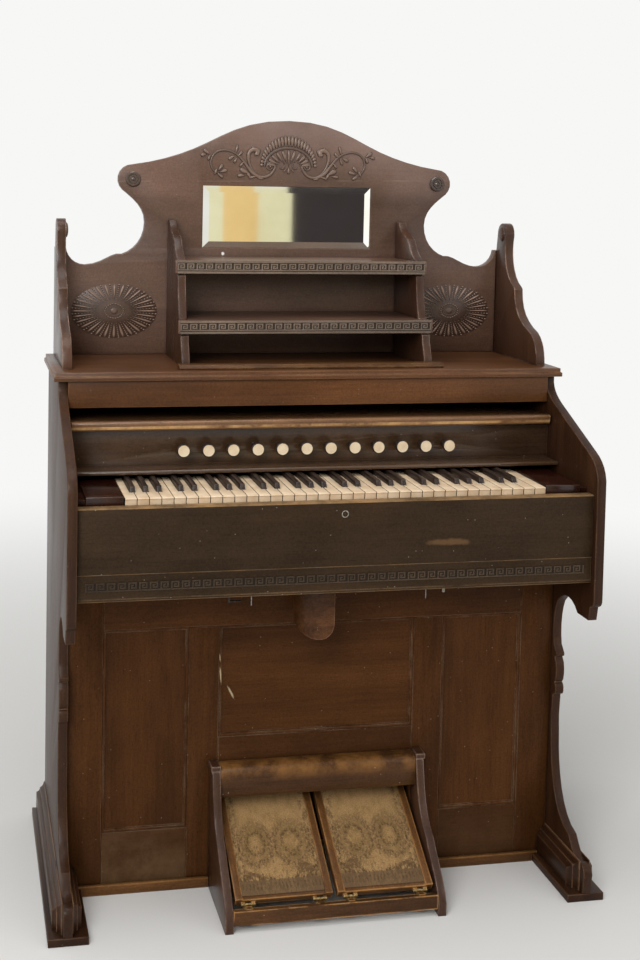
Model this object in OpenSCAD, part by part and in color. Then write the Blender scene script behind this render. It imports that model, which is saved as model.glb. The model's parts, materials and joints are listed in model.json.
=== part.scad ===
// Parlour reed organ with a shaped crest, twelve stop knobs, a 61-note keyboard and two pedals.
// Millimetres, +Z up, -Y to the player. The origin is on the floor at the middle of the whole box.

/* [Overall] */
// Depth from the pedal box front to the back of the foot plates
depth = 550; // [530:5:600]
// Width across the outer faces of the side boards
body_w = 1070; // [1060:5:1120]
// Height of the case up to the underside of the top board
case_h = 1040; // [1030:5:1080]
// Thickness of the side boards
side_t = 19; // [16:1:22]

/* [Feet] */
// Thickness of the foot plates
plate_t = 16; // [12:1:22]
// How far a foot plate runs out past the side board
plate_out = 28; // [22:1:34]
// How far a foot plate runs in past the side board
plate_in = 31; // [22:1:34]
// Height of the moulded foot blocks above their plate
foot_h = 64; // [50:1:74]
// Thickness of the moulded foot blocks
foot_t = 19; // [14:1:22]

/* [Front] */
// Distance from the pedal box front back to the front panels
panel_setback = 186; // [180:1:200]
// Thickness of the stiles and rails
frame_t = 22; // [18:1:26]
// Width of the outer stiles
stile_w = 71; // [60:1:80]
// Width of the inner stiles
inner_stile_w = 64; // [54:1:70]
// Thickness of the panels
panel_t = 9; // [7:1:12]
// Height of the lower rails
low_rail_h = 111; // [90:1:130]
// Height of the bottom edge of the centre panel
centre_panel_z = 313; // [300:1:340]
// Height of the upper rail
top_rail_h = 115.5; // [105:0.5:130]
// Height of the base strip along the floor
base_h = 21; // [19:1:30]
// Projection of the base strip in front of the stiles
base_out = 8; // [5:1:12]

/* [Keyboard] */
// Drop from the underside of the top board to the natural keys
key_drop = 193; // [188:1:205]
// Pitch of the natural keys
key_pitch = 23.55; // [22.5:0.05:23.6]
// Length of the natural keys that shows
key_len = 145; // [138:1:150]
// Thickness of the keys
key_t = 22; // [18:1:26]
// Gap between two keys
key_gap = 0.9; // [0.6:0.1:1.4]
// Width of a sharp
sharp_w = 10; // [9:0.5:11]
// Height of the sharps above the naturals
sharp_h = 10; // [8:0.5:11]
// Length of the sharps that shows
sharp_len = 95; // [88:1:100]
// Height of the key slip
slip_h = 178; // [160:1:190]
// Thickness of the key slip
slip_t = 22; // [18:1:26]
// Thickness of the key bed
bed_t = 22; // [18:1:26]
// Thickness of the ledge behind the keys
ledge_t = 8; // [6:1:10]
// Width of the low strip outside each end block
strip_w = 18; // [14:1:24]

/* [Stops] */
// Number of stop knobs
stops = 12; // [10:1:12]
// Pitch of the stop knobs
stop_pitch = 51.5; // [48:0.5:54]
// Height of the stop knobs above the keys
stop_rise = 53; // [49:1:58]
// Diameter of a stop knob
knob_d = 27; // [22:1:30]
// Diameter of a stop stem
stem_d = 10; // [8:1:12]
// How far a stop knob stands in front of its board
knob_out = 29; // [26:1:32]
// Travel of a stop
stop_travel = 28; // [20:1:30]
// Thickness of the stop board
stop_board_t = 12; // [10:1:14]

/* [Lid and top] */
// Height of the underside of the sliding lid above the keys
lid_rise = 99; // [96:1:108]
// Thickness of the sliding lid
lid_t = 12; // [10:1:14]
// Depth of the sliding lid from front to back
lid_depth = 255; // [240:5:270]
// Height of the nosing along the lid
nosing_h = 20; // [18:1:24]
// Height of the fascia under the top board
fascia_h = 55; // [48:1:62]
// Thickness of the top board
top_t = 18; // [14:1:22]
// Overhang of the top board past the side boards
top_over = 10; // [6:1:14]

/* [Crest] */
// Height of the crest above the top board
crest_h = 528; // [510:1:545]
// Thickness of the crest board
crest_t = 20; // [16:1:22]
// Thickness of the end brackets
bracket_t = 20; // [16:1:22]
// Distance of the end brackets in from the ends of the top board
bracket_set = 20; // [14:1:30]
// Distance of the end brackets back from the front of the top board
bracket_front = 47; // [40:1:55]
// Width of the mirror
mirror_w = 390; // [360:1:400]
// Height of the mirror
mirror_h = 139; // [125:1:142]
// Thickness of the mirror glass
mirror_t = 6; // [5:1:8]
// Radius of a turned rosette
rosette_r = 17; // [14:1:20]
// Half width of the carved shell
shell_rx = 67; // [60:1:72]
// Height of the carved shell
shell_rz = 72; // [64:1:76]
// Rays of the carved shell
shell_rays = 24; // [18:2:28]
// Gap beside a carved sunburst
burst_gap = 15.5; // [13:0.5:25]
// Half height of a carved sunburst
burst_rz = 61; // [52:1:64]

/* [Shelves] */
// Half width of the shelf edges
shelf_half = 280; // [272:1:290]
// Thickness of the shelf edges
shelf_edge_h = 28; // [24:1:32]
// Thickness of the shelf boards
shelf_t = 12; // [10:1:14]
// Distance of the lower shelf back from the front of the top board
low_shelf_set = 85; // [80:1:95]
// Distance of the upper shelf behind the lower one
shelf_step = 48; // [40:1:56]
// Thickness of the shelf brackets
shelf_bracket_t = 18; // [14:1:20]
// Height of the underside of the lower shelf above the top board
low_shelf_z = 68; // [60:1:76]
// Height of the underside of the upper shelf above the top board
high_shelf_z = 192; // [182:1:200]

/* [Pedals] */
// Half width of the pedal well
well_half = 207; // [200:1:212]
// Thickness of the pedal box cheeks
cheek_t = 17; // [14:1:20]
// Height of the pedal box
cheek_h = 262; // [250:1:270]
// Height of the rail over the pedals
over_rail_h = 64; // [54:1:70]
// Thickness of the pedal boards
pedal_t = 14; // [12:1:18]
// Length of the pedal boards
pedal_len = 285; // [270:1:300]
// Slope of the pedals at rest
pedal_slope = 31; // [28:1:34]
// Turn of a pedal from rest to its stop
pedal_travel = 15; // [12:1:16]
// Gap between the two pedals
pedal_gap = 10; // [8:1:14]
// Thickness of the pedal carpets
carpet_t = 3; // [2:0.5:4]
// Radius of the hinge barrels
barrel_r = 3.5; // [3:0.5:4.5]

/* [Knee lever] */
// Distance of the knee lever pivot left of the middle
knee_left = 34; // [20:1:50]
// Height of the knee paddle
paddle_h = 100; // [80:1:110]
// Radius of the curved paddle
paddle_r = 70; // [62:1:80]
// Thickness of the knee paddle
paddle_t = 12; // [10:1:16]

/* [Fits] */
// Clearance between a sliding piece and its neighbours
slide_gap = 5; // [5:0.5:7]
// Clearance of a piece on its seat
seat_gap = 0.3; // [0.2:0.05:0.4]
// Radial clearance of a pin in its bore
pin_gap = 0.05; // [0.04:0.01:0.1]

/* [Hidden] */

walnut = [0.27, 0.18, 0.13];
dark_walnut = [0.19, 0.12, 0.09];
worn_walnut = [0.42, 0.25, 0.13];
ivory = [0.90, 0.82, 0.68];
ebony = [0.08, 0.06, 0.05];
glass_tone = [0.75, 0.78, 0.80];
carpet_tone = [0.50, 0.43, 0.28];

overlap = 1;                             // cuts and joined solids run this far past a face
front_y = -depth / 2;
back_y = depth / 2;
back_setback = 8;                        // sides stop short of the foot plates
case_back = back_y - back_setback;
side_out = body_w / 2;
side_in = side_out - side_t;
top_z = case_h + top_t;                  // upper face of the top board

key_z = case_h - key_drop;               // top of the natural keys
stop_z = key_z + stop_rise;              // middle of the stop knobs
lid_z = key_z + lid_rise;                // underside of the sliding lid

arm_setback = 3;                         // arms behind the pedal box front
arm_y = front_y + arm_setback;
slip_setback = 15;                       // key slip behind the arms
slip_y = arm_y + slip_setback;
keys_y = slip_y + slip_t + 1;            // front edge of the naturals
slip_drop = 12.5;                        // key slip below the top of the keys
slip_top = key_z - slip_drop;
slip_bot = slip_top - slip_h;
slip_lap = 3;                            // key slip below the top of the front frame
frame_top = slip_bot + slip_lap;
panel_y = front_y + panel_setback;       // front face of stiles and rails
frame_back = panel_y + frame_t;
bed_top = frame_top + bed_t;
chest_top = key_z - key_t;
chest_d = 332;                           // depth of the reed chest
chest_y = keys_y + 2;
chest_back = chest_y + chest_d;
sharp_room = 3;                          // ledge above the sharps
ledge_z = key_z + sharp_h + sharp_room;
ledge_lap = 4;                           // ledge over the back of the keys
ledge_y = keys_y + key_len - ledge_lap;
board_setback = 58;                      // stop board behind the front of the ledge
board_y = ledge_y + board_setback;
stop_board_top = lid_z - slide_gap;
lid_setback = 7;                         // lid nosing in front of the stop board
lid_y = board_y - lid_setback;
fascia_y = board_y + 5;
top_lap = 8;                             // top board in front of the fascia
top_y = fascia_y - top_lap;
crest_y = case_back - crest_t;

naturals = 36;
keys_half = naturals * key_pitch / 2;

// Points of a cubic curve from a to d, without the last one.
function curve(a, b, c, d, n = 6) = [for (i = [0 : n - 1]) let (t = i / n, s = 1 - t)
    s * s * s * a + 3 * s * s * t * b + 3 * s * t * t * c + t * t * t * d];

// Points of an arc from angle a0 to angle a1 about a centre, both ends included.
function arc(centre, r, a0, a1, n = 6) = [for (i = [0 : n])
    let (a = a0 + (a1 - a0) * i / n) centre + r * [cos(a), sin(a)]];

// Points laid out from a corner, each as a share of a width and a height.
function spread(corner, size, shares) = [for (p = shares) corner + [p[0] * size[0], p[1] * size[1]]];

// A cubic curve whose four points are shares of a width and a height.
function swing(corner, size, shares, n = 6) = let (p = spread(corner, size, shares))
    curve(p[0], p[1], p[2], p[3], n);

// A board whose outline is drawn in Y and Z, from x0 to x0 + t.
module yz_board(x0, t) translate([x0, 0, 0]) rotate([90, 0, 90]) linear_extrude(t) children();

// A board whose outline is drawn in X and Z, from y0 to y0 + t.
module xz_board(y0, t) translate([0, y0 + t, 0]) rotate([90, 0, 0]) linear_extrude(t) children();

// A plain block between two corners.
module block(low, high) translate(low) cube(high - low);

module on_left() mirror([1, 0, 0]) children();

// Side boards: scrolled neck, arm, arch, turned outline of the pilaster and scrolled toe
neck_set = 10;                           // side boards behind the face of the fascia
neck_d = 56;
neck_h = 60;
cap_d = 48;                              // curved top of the arm
cap_h = 68;
arm_round = 16;
arm_drop = 50;                           // underside of the arm below the key slip
arm_low = slip_bot - arm_drop;
chin_h = 30;                             // flat chin under the arm
chin_z = arm_low - chin_h;
chin_y0 = arm_y + 22;
chin_y1 = arm_y + 66;
pillar_set = 13;                         // pilaster in front of the stiles
pillar_y = panel_y - pillar_set;
arch_rise = 30;
swell = 12;
collar_drop = 116;
collar_t = 6;
roll_in = 6;                             // two turned rolls below the collar
roll_out = 8;
roll_top = chin_z - collar_drop - 14;
upper_roll_h = 50;
lower_roll_h = 28;
toe_rise = 264;
toe_sweep = 95;
toe_tip = 91;                            // point of the toe above the foot plate
toe_y = pillar_y - toe_sweep;
toe_z = plate_t + toe_tip;
nose_r = 19;
nose_z = plate_t + 40;
nose_y = arm_y + nose_r;
nose_taper = 6;
function turned_roll(z, h) = swing([pillar_y - roll_in, z], [-roll_out * 4 / 3, -h],
    [[0, 0], [1, 0.08], [1, 0.92], [0, 1]], 5);
module side_outline() polygon(concat(
    [[case_back, plate_t], [case_back, case_h], [fascia_y + neck_set, case_h]],
    swing([fascia_y + neck_set, case_h], [-neck_d, -neck_h],
        [[0, 0.23], [0.07, 0.57], [0.46, 0.77], [1, 1]]),
    swing([arm_y, key_z], [cap_d, cap_h], [[1, 1], [0.375, 0.82], [0, 0.53], [0, 0.03]]),
    arc([arm_y + arm_round, arm_low + arm_round], arm_round, 180, 270, 4),
    [[chin_y0, chin_z], [chin_y1, chin_z]],
    swing([chin_y1, chin_z], [pillar_y - chin_y1, arch_rise],
        [[0.04, 0], [0.25, 0.87], [0.67, 1], [0.92, -0.13]]),
    swing([pillar_y, chin_z], [swell, -collar_drop],
        [[-0.67, 0.035], [0.67, 0.26], [1, 0.78], [-0.42, 1]]),
    spread([pillar_y, chin_z - collar_drop], [swell, -collar_t], [[-1, 0], [-1, 1], [-0.3, 1.6]]),
    turned_roll(roll_top, upper_roll_h), turned_roll(roll_top - upper_roll_h, lower_roll_h),
    [[pillar_y - 1, roll_top - upper_roll_h - lower_roll_h], [pillar_y + 3, plate_t + toe_rise + 40]],
    swing([pillar_y, plate_t], [-toe_sweep, toe_rise],
        [[0, 1], [0.02, 0.74], [0.25, 0.38], [1, toe_tip / toe_rise]], 8),
    swing([toe_y, toe_z], [nose_y + nose_r * 0.75 - toe_y, nose_z + nose_r * 0.66 - toe_z],
        [[0, 0], [0.3, 0.42], [0.62, 0.8], [1, 1]], 4),
    arc([nose_y, nose_z], nose_r, 55, 200, 7), [[arm_y + nose_taper, plate_t]]));

module right_side_board() yz_board(side_in, side_t) side_outline();
module left_side() color(walnut) on_left() right_side_board();
module right_side() color(walnut) right_side_board();

// Foot plates and the moulded blocks on both faces of each side board
plate_setback = 8;
module foot_plate() block([side_in - plate_in, front_y + plate_setback, 0],
    [side_out + plate_out, back_y, plate_t]);
module left_foot_plate() color(dark_walnut) on_left() foot_plate();
module right_foot_plate() color(dark_walnut) foot_plate();

// Outline of a foot block: thickness against reach, with its edge moulded.
foot_edge = 24;
foot_cove = [[0, 0], [0.3, 0.04], [0.4, 0.2], [0.42, 0.44]];
foot_ovolo = [[0.5, 0.44], [0.66, 0.5], [0.82, 0.66], [0.84, 0.88]];
function foot_moulding(reach) = concat([[0, 0], [foot_t, 0]],
    swing([foot_t, reach - foot_edge], [-foot_t, foot_edge], foot_cove, 4),
    [[foot_t * (1 - foot_cove[3][0]), reach - foot_edge * (1 - foot_cove[3][1])]],
    swing([foot_t, reach - foot_edge], [-foot_t, foot_edge], foot_ovolo, 4),
    spread([foot_t, reach - foot_edge], [-foot_t, foot_edge],
        [foot_ovolo[3], [0.92, 0.9], [0.92, 1], [1, 1]]));

// Block from its nose at the front to y1, lying on the plane X = 0 and standing out to +X.
foot_nose = plate_setback + 11;
module foot_block(y1) intersection() {
    translate([0, y1, plate_t]) rotate([90, 0, 0]) linear_extrude(y1 - front_y)
        polygon(foot_moulding(foot_h));
    translate([0, y1, plate_t - overlap]) mirror([0, 1, 0]) linear_extrude(foot_h + 2 * overlap)
        polygon(foot_moulding(y1 - front_y - foot_nose));
}
module foot_blocks() {
    translate([side_out, 0, 0]) foot_block(case_back);
    translate([side_in, 0, 0]) mirror([1, 0, 0]) foot_block(panel_y);
}
module left_foot_block() color(dark_walnut) on_left() foot_blocks();
module right_foot_block() color(dark_walnut) foot_blocks();

// Lower front: stiles, rails and sunk panels
stile_x0 = side_in - stile_w;            // inner edge of an outer stile
inner_x1 = well_half + inner_stile_w;    // outer edge of an inner stile
rail_lap = 10;                           // pedal rail over the edge of the rail behind it
mid_rail_z = cheek_h - over_rail_h + rail_lap;
low_rail_top = plate_t + low_rail_h;
panel_top_z = frame_top - top_rail_h;
panel_set = 6;                           // panels behind the face of the stiles
bead = 5;
bead_set = 1;                            // bead behind the face of the stiles

module front_stiles() color(dark_walnut) for (s = [-1, 1]) {
    block([s > 0 ? stile_x0 : -side_in, panel_y, plate_t],
        [s > 0 ? side_in : -stile_x0, frame_back, frame_top]);
    block([s > 0 ? well_half : -inner_x1, panel_y, plate_t],
        [s > 0 ? inner_x1 : -well_half, frame_back, panel_top_z]);
}
module front_rails() color(dark_walnut) {
    block([-stile_x0, panel_y, panel_top_z], [stile_x0, frame_back, frame_top]);
    block([-well_half, panel_y, mid_rail_z], [well_half, frame_back, centre_panel_z]);
    for (s = [-1, 1]) block([s > 0 ? inner_x1 : -stile_x0, panel_y, plate_t],
        [s > 0 ? stile_x0 : -inner_x1, frame_back, low_rail_top]);
}

// A panel with a bead along each edge, between two corners in X and Z.
module sunk_panel(x0, x1, z0, z1) {
    block([x0, panel_y + panel_set, z0], [x1, panel_y + panel_set + panel_t, z1]);
    difference() {
        block([x0, panel_y + bead_set, z0], [x1, panel_y + panel_set + overlap, z1]);
        block([x0 + bead, panel_y - overlap, z0 + bead],
            [x1 - bead, panel_y + panel_set + 2 * overlap, z1 - bead]);
    }
}
module left_panel() color(dark_walnut)
    sunk_panel(-stile_x0, -inner_x1, low_rail_top, panel_top_z);
module centre_panel() color(dark_walnut)
    sunk_panel(-well_half, well_half, centre_panel_z, panel_top_z);
module right_panel() color(dark_walnut)
    sunk_panel(inner_x1, stile_x0, low_rail_top, panel_top_z);

// Base strip on the floor at both sides of the pedal box, lapped over the foot plates
cheek_out = well_half + cheek_t;
plate_x0 = side_in - plate_in;
module base_strip() color(worn_walnut) for (s = [0, 1]) mirror([s, 0, 0]) {
    block([cheek_out, panel_y - base_out, 0], [plate_x0, frame_back, plate_t]);
    block([cheek_out, panel_y - base_out, plate_t - overlap], [plate_x0, panel_y, base_h]);
    block([plate_x0 - overlap, panel_y - base_out, plate_t], [side_in - foot_t, panel_y, base_h]);
}

// Key slip with the sunk band for its carved border
band_rise = 5;
band_h = 46;
band_d = 1.5;
module key_slip() color(dark_walnut) difference() {
    block([-side_in, slip_y, slip_bot], [side_in, slip_y + slip_t, slip_top]);
    block([-side_in - overlap, slip_y - overlap, slip_bot + band_rise],
        [side_in + overlap, slip_y + band_d, slip_bot + band_rise + band_h]);
}

// Key bed with the rod of the knee lever held by two round ears under it
pivot_drop = 14;                         // rod below the key bed
pivot_z = frame_top - pivot_drop;
pivot_r = 3;
pivot_setback = 97;                      // middle of the rod behind the key slip's face
pivot_y = slip_y + pivot_setback;
ear_t = 5;
ear_r = 6;
barrel_len = 60;
ear_gap = 0.5;
module key_bed() color(dark_walnut) {
    block([-side_in, slip_y + slip_t, frame_top], [side_in, chest_back, bed_top]);
    for (s = [-1, 1]) translate([-knee_left, pivot_y + s * (barrel_len / 2 + ear_gap + ear_t / 2), 0]) {
        block([-ear_r, -ear_t / 2, pivot_z], [ear_r, ear_t / 2, frame_top + overlap]);
        translate([0, ear_t / 2, pivot_z]) rotate([90, 0, 0]) cylinder(h = ear_t, r = ear_r, $fn = 32);
    }
    translate([-knee_left, pivot_y + barrel_len / 2 + ear_gap + ear_t / 2, pivot_z])
        rotate([90, 0, 0]) cylinder(h = barrel_len + 2 * ear_gap + ear_t, r = pivot_r, $fn = 32);
}

module reed_chest() color(dark_walnut)
    block([-side_in, chest_y, bed_top], [side_in, chest_back, chest_top]);

// End blocks beside the keys, each with a low strip against the side board
block_gap = 1.5;
block_rise = 3;
block_lap = 20;                          // blocks under the ledge
module key_block() {
    block([keys_half + block_gap, chest_y + 1, chest_top],
        [side_in - strip_w, ledge_y + block_lap, key_z + block_rise]);
    block([side_in - strip_w - overlap, chest_y + 7, chest_top],
        [side_in, ledge_y + block_lap, key_z - block_rise]);
}
module left_key_block() color(walnut) on_left() key_block();
module right_key_block() color(walnut) key_block();

// Keys from F to F: a sharp follows every natural but B and E
function has_sharp(i) = i >= 0 && i < naturals - 1 && len(search(i % 7, [0, 1, 2, 4, 5])) > 0;
wide_shift = 2.5;                        // outer sharps of three
narrow_shift = 1.8;                      // sharps of two
function sharp_shift(i) = let (k = i % 7)
    k == 0 ? -wide_shift : k == 2 ? wide_shift : k == 4 ? -narrow_shift : k == 5 ? narrow_shift : 0;
function natural_x(i) = (i - naturals / 2) * key_pitch;
function sharp_x(i) = natural_x(i + 1) + sharp_shift(i);
key_hidden = 30;                         // keys run on under the ledge
key_back = keys_y + key_len + key_hidden;
head_len = key_len - sharp_len;
lip_out = 1.5;                           // covers over the fronts of the naturals
lip_t = 3;
sharp_rake = 6;

module natural_outline(i, y0) {
    x0 = natural_x(i) + key_gap / 2;
    x1 = natural_x(i + 1) - key_gap / 2;
    t0 = has_sharp(i - 1) ? sharp_x(i - 1) + sharp_w / 2 + key_gap : x0;
    t1 = has_sharp(i) ? sharp_x(i) - sharp_w / 2 - key_gap : x1;
    head_y = keys_y + head_len - key_gap;
    polygon([[x0, y0], [x1, y0], [x1, head_y], [t1, head_y], [t1, key_back],
        [t0, key_back], [t0, head_y], [x0, head_y]]);
}
module natural_keys() color(ivory) for (i = [0 : naturals - 1]) {
    translate([0, 0, chest_top]) linear_extrude(key_t) natural_outline(i, keys_y + lip_out);
    translate([0, 0, key_z - lip_t]) linear_extrude(lip_t) natural_outline(i, keys_y);
}

module sharp_keys() color(ebony) for (i = [0 : naturals - 2]) if (has_sharp(i))
    yz_board(sharp_x(i) - sharp_w / 2, sharp_w) polygon([
        [keys_y + head_len, chest_top], [keys_y + head_len, key_z],
        [keys_y + head_len + sharp_rake, key_z + sharp_h], [key_back, key_z + sharp_h],
        [key_back, chest_top]]);

// Ledge behind the keys and the stop board on it
module key_ledge() color(dark_walnut) yz_board(-side_in, 2 * side_in) polygon(concat(
    [[board_y + stop_board_t, ledge_z], [board_y + stop_board_t, ledge_z + ledge_t]],
    arc([ledge_y + ledge_t / 2, ledge_z + ledge_t / 2], ledge_t / 2, 90, 180, 4),
    [[ledge_y, ledge_z]]));

function stop_x(i) = (i - (stops + 1) / 2) * stop_pitch;
module stop_board() color(dark_walnut) difference() {
    block([-side_in, board_y, ledge_z + ledge_t], [side_in, board_y + stop_board_t, stop_board_top]);
    for (i = [1 : stops]) translate([stop_x(i), board_y - overlap, stop_z]) rotate([-90, 0, 0])
        cylinder(h = stop_board_t + 2 * overlap, d = stem_d + 2 * seat_gap, $fn = 40);
}

// A turned knob with a flat face, its neck and its stem through the board
stem_tail = stop_travel + 14;            // stem behind the board
stem_end = knob_out + stop_board_t + stem_tail;
module stop_knob(i) color(ebony) translate([stop_x(i), board_y - knob_out, stop_z])
    rotate([-90, 0, 0]) rotate_extrude($fn = 48) polygon(concat([[0, 0]],
        spread([0, 0], [knob_d / 2, knob_out], [[0.85, 0], [0.89, 0.034], [0.956, 0.048], [1, 0.103],
            [1, 0.276], [0.85, 0.38], [0.6, 0.45], [0.48, 0.55], [0.6, 0.83], [0.6, 0.966]]),
        [[stem_d / 2, knob_out * 0.966], [stem_d / 2, stem_end], [0, stem_end]]));

// Lid that slides out over the keys, with a moulded nosing along its front
runner_w = 12;
runner_h = 12;
nosing_d = 18;
nosing_y = lid_y - nosing_d;
nosing_rise = 3;                         // nosing above the lid
nosing_top = lid_z + lid_t + nosing_rise;
nosing_r = nosing_h / 4;
nosing_step = 3;                         // lower bead behind the upper one
module key_lid() color(worn_walnut)
    yz_board(-side_in + slide_gap, 2 * (side_in - slide_gap)) polygon(concat(
        [[nosing_y + lid_depth, lid_z], [nosing_y + lid_depth, lid_z + lid_t]],
        [[lid_y, lid_z + lid_t], [lid_y - nosing_rise, nosing_top]],
        arc([nosing_y + nosing_r, nosing_top - nosing_r], nosing_r, 90, 180, 4),
        arc([nosing_y + nosing_step + nosing_r, nosing_top - 3 * nosing_r], nosing_r, 180, 270, 4),
        [[lid_y, nosing_top - nosing_h], [lid_y, lid_z]]));

// Fascia under the top board
fascia_t = 18;
module fascia() color(walnut)
    block([-side_in, fascia_y, case_h - fascia_h], [side_in, fascia_y + fascia_t, case_h]);

// Top board with a stepped edge
step_in = 3;
top_end = side_out + top_over;
module top_board() color(walnut) {
    block([-top_end, top_y, case_h], [top_end, case_back + step_in, case_h + top_t / 2]);
    block([-top_end + step_in, top_y + step_in, case_h + top_t / 2], [top_end - step_in, case_back, top_z]);
}

// Back of the case, with the runners of the lid along the sides
back_t = 10;
module back_board() color(dark_walnut) {
    block([-side_in, case_back - back_t, plate_t], [side_in, case_back, case_h]);
    for (s = [0, 1]) mirror([s, 0, 0])
        block([side_in - runner_w, board_y + stop_board_t, lid_z - seat_gap - runner_h],
            [side_in, case_back - back_t, lid_z - seat_gap]);
}

// Crest: half outline from the middle of the top over the lobe and the shoulder to its end
crest_half = top_end - bracket_set - bracket_t;
crest_z1 = top_z + crest_h;
lobe_drop = 137;
lobe_set = 151;                          // lobe in from the end of the crest
lobe_z = crest_z1 - lobe_drop;
lobe_x = crest_half - lobe_set;
lobe_r = 33;
shoulder_drop = 191;
shoulder_z = lobe_z - shoulder_drop;
crown = [lobe_x, lobe_drop - lobe_r];
half_crest = concat(
    swing([0, crest_z1], [crown[0], -crown[1]], [[0, 0], [0.254, 0], [0.373, 0.25], [0.528, 0.51]], 5),
    swing([0, crest_z1], [crown[0], -crown[1]], [[0.528, 0.51], [0.655, 0.73], [0.819, 0.92], [1, 1]], 5),
    arc([lobe_x, lobe_z], lobe_r, 90, -48, 7),
    swing([lobe_x, lobe_z], [lobe_set, -shoulder_drop],
        [[0.132, 0.136], [-0.013, 0.23], [-0.185, 0.325], [-0.185, 0.503]]),
    swing([lobe_x, lobe_z], [lobe_set, -shoulder_drop],
        [[-0.185, 0.503], [-0.185, 0.691], [-0.04, 0.827], [0.146, 0.874]]),
    swing([lobe_x, lobe_z], [lobe_set, -shoulder_drop],
        [[0.146, 0.874], [0.305, 0.848], [0.424, 0.995], [0.689, 1]]),
    swing([lobe_x, lobe_z], [lobe_set, -shoulder_drop],
        [[0.689, 1], [0.854, 1], [0.96, 0.9], [0.974, 0.796]]),
    spread([lobe_x, lobe_z], [lobe_set, -shoulder_drop], [[0.974, 0.796], [1, 0.796]]),
    [[crest_half, top_z]]);
crest_last = len(half_crest) - 1;
crest_outline = concat(half_crest,
    [for (i = [crest_last : -1 : 1]) [-half_crest[i][0], half_crest[i][1]]]);
crest_end_z = lobe_z - 0.796 * shoulder_drop;

mirror_rise = 20;                        // glass above the upper shelf
mirror_z = top_z + high_shelf_z + shelf_edge_h + mirror_rise;
pocket_gap = 0.5;
bevel_w = 14;
bevel_d = 1.5;
module crest_board() color(walnut) difference() {
    xz_board(crest_y, crest_t) polygon(crest_outline);
    block([-mirror_w / 2 - pocket_gap, crest_y - overlap, mirror_z - pocket_gap],
        [mirror_w / 2 + pocket_gap, crest_y + mirror_t, mirror_z + mirror_h + pocket_gap]);
}

// Outline of the glass with bevelled edges: width against depth, its face at the front.
function glass_outline(w) = [[0, mirror_t], [0, 1 + bevel_d], [bevel_w, 1], [w - bevel_w, 1],
    [w, 1 + bevel_d], [w, mirror_t]];
module bevelled_mirror() color(glass_tone) translate([-mirror_w / 2, crest_y, mirror_z]) intersection() {
    linear_extrude(mirror_h) polygon(glass_outline(mirror_w));
    rotate([0, 90, 0]) linear_extrude(mirror_w) polygon([for (p = glass_outline(mirror_h)) [-p[0], p[1]]]);
}

// Carved shell over the mirror: a fan of rays with an arch of fingers in it, and a vine at each side
shell_z = mirror_z + mirror_h + 45;      // foot of the fan
relief_h = 3;
fan_ground_h = 1.4;
arch_out = [0.9, 0.65];                  // arch band as shares of the fan
arch_in = [0.78, 0.555];
hollow = [0.5, 0.28];
function fan(a, k) = [shell_rx * k[0] * cos(a), shell_z + shell_rz * k[1] * sin(a)];
module relief(h) translate([0, crest_y, 0]) rotate([90, 0, 0]) linear_extrude(h) children();

// Tapered petals round the fan between two half ovals.
module rays(n, k0, k1, blunt) for (i = [0 : n - 1]) let (w = 90 / n, a = (2 * i + 1) * w) polygon([
    fan(a - w * 0.6, k0), fan(a - w * 0.75, k1 * blunt + k0 * (1 - blunt)), fan(a, k1),
    fan(a + w * 0.75, k1 * blunt + k0 * (1 - blunt)), fan(a + w * 0.6, k0)]);

// A tapered ribbon along a row of points, from half width w0 to half width w1.
function side_step(p, i) = let (d = p[min(i + 1, len(p) - 1)] - p[max(i - 1, 0)]) [-d[1], d[0]] / norm(d);
function ribbon(p, w0, w1) = let (n = len(p) - 1, w = [for (i = [0 : n]) w0 + (w1 - w0) * i / n])
    concat([for (i = [0 : n]) p[i] + w[i] * side_step(p, i)],
        [for (i = [n : -1 : 0]) p[i] - w[i] * side_step(p, i)]);
function vine(shares, n = 7) = concat(swing([0, shell_z], [shell_rx, shell_rz], shares, n),
    spread([0, shell_z], [shell_rx, shell_rz], [shares[3]]));
volute = [0.63, 0];
volute_r = 10;
bud_r = 6;
buds = [[2.82, 0.4], [2.28, -0.1], [1.57, -0.22], [1.88, 0.24]];
module crest_vine() {
    relief(relief_h) polygon(ribbon(vine([[0.5, -0.1], [0.66, -0.38], [1, -0.4], [1.25, -0.2]]), 4, 3));
    relief(relief_h) polygon(ribbon(vine([[1.25, -0.2], [1.46, 0], [1.58, 0.25], [1.82, 0.38]]), 3, 3));
    relief(relief_h) polygon(ribbon(vine([[1.82, 0.38], [2.1, 0.56], [2.63, 0.53], [2.67, 0.14]]), 3, 2.6));
    relief(relief_h) polygon(ribbon(vine([[2.67, 0.14], [2.7, -0.06], [2.56, -0.22], [2.33, -0.26]]), 2.6, 2));
    relief(relief_h) polygon(ribbon(vine([[0.96, -0.33], [1.34, -0.17], [1.46, 0.25], [1.36, 0.44]]), 3, 3.6));
    relief(relief_h) polygon(ribbon(vine([[1.36, 0.44], [1.25, 0.58], [0.99, 0.53], [1.12, 0.36]]), 3.6, 2));
    for (p = buds) relief(relief_h) translate([p[0] * shell_rx, shell_z + p[1] * shell_rz])
        circle(r = bud_r, $fn = 16);
    relief(relief_h) translate([volute[0] * shell_rx, shell_z]) circle(r = volute_r, $fn = 24);
    relief(relief_h * 1.4) translate([volute[0] * shell_rx, shell_z]) circle(r = volute_r * 0.4, $fn = 16);
}
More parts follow.
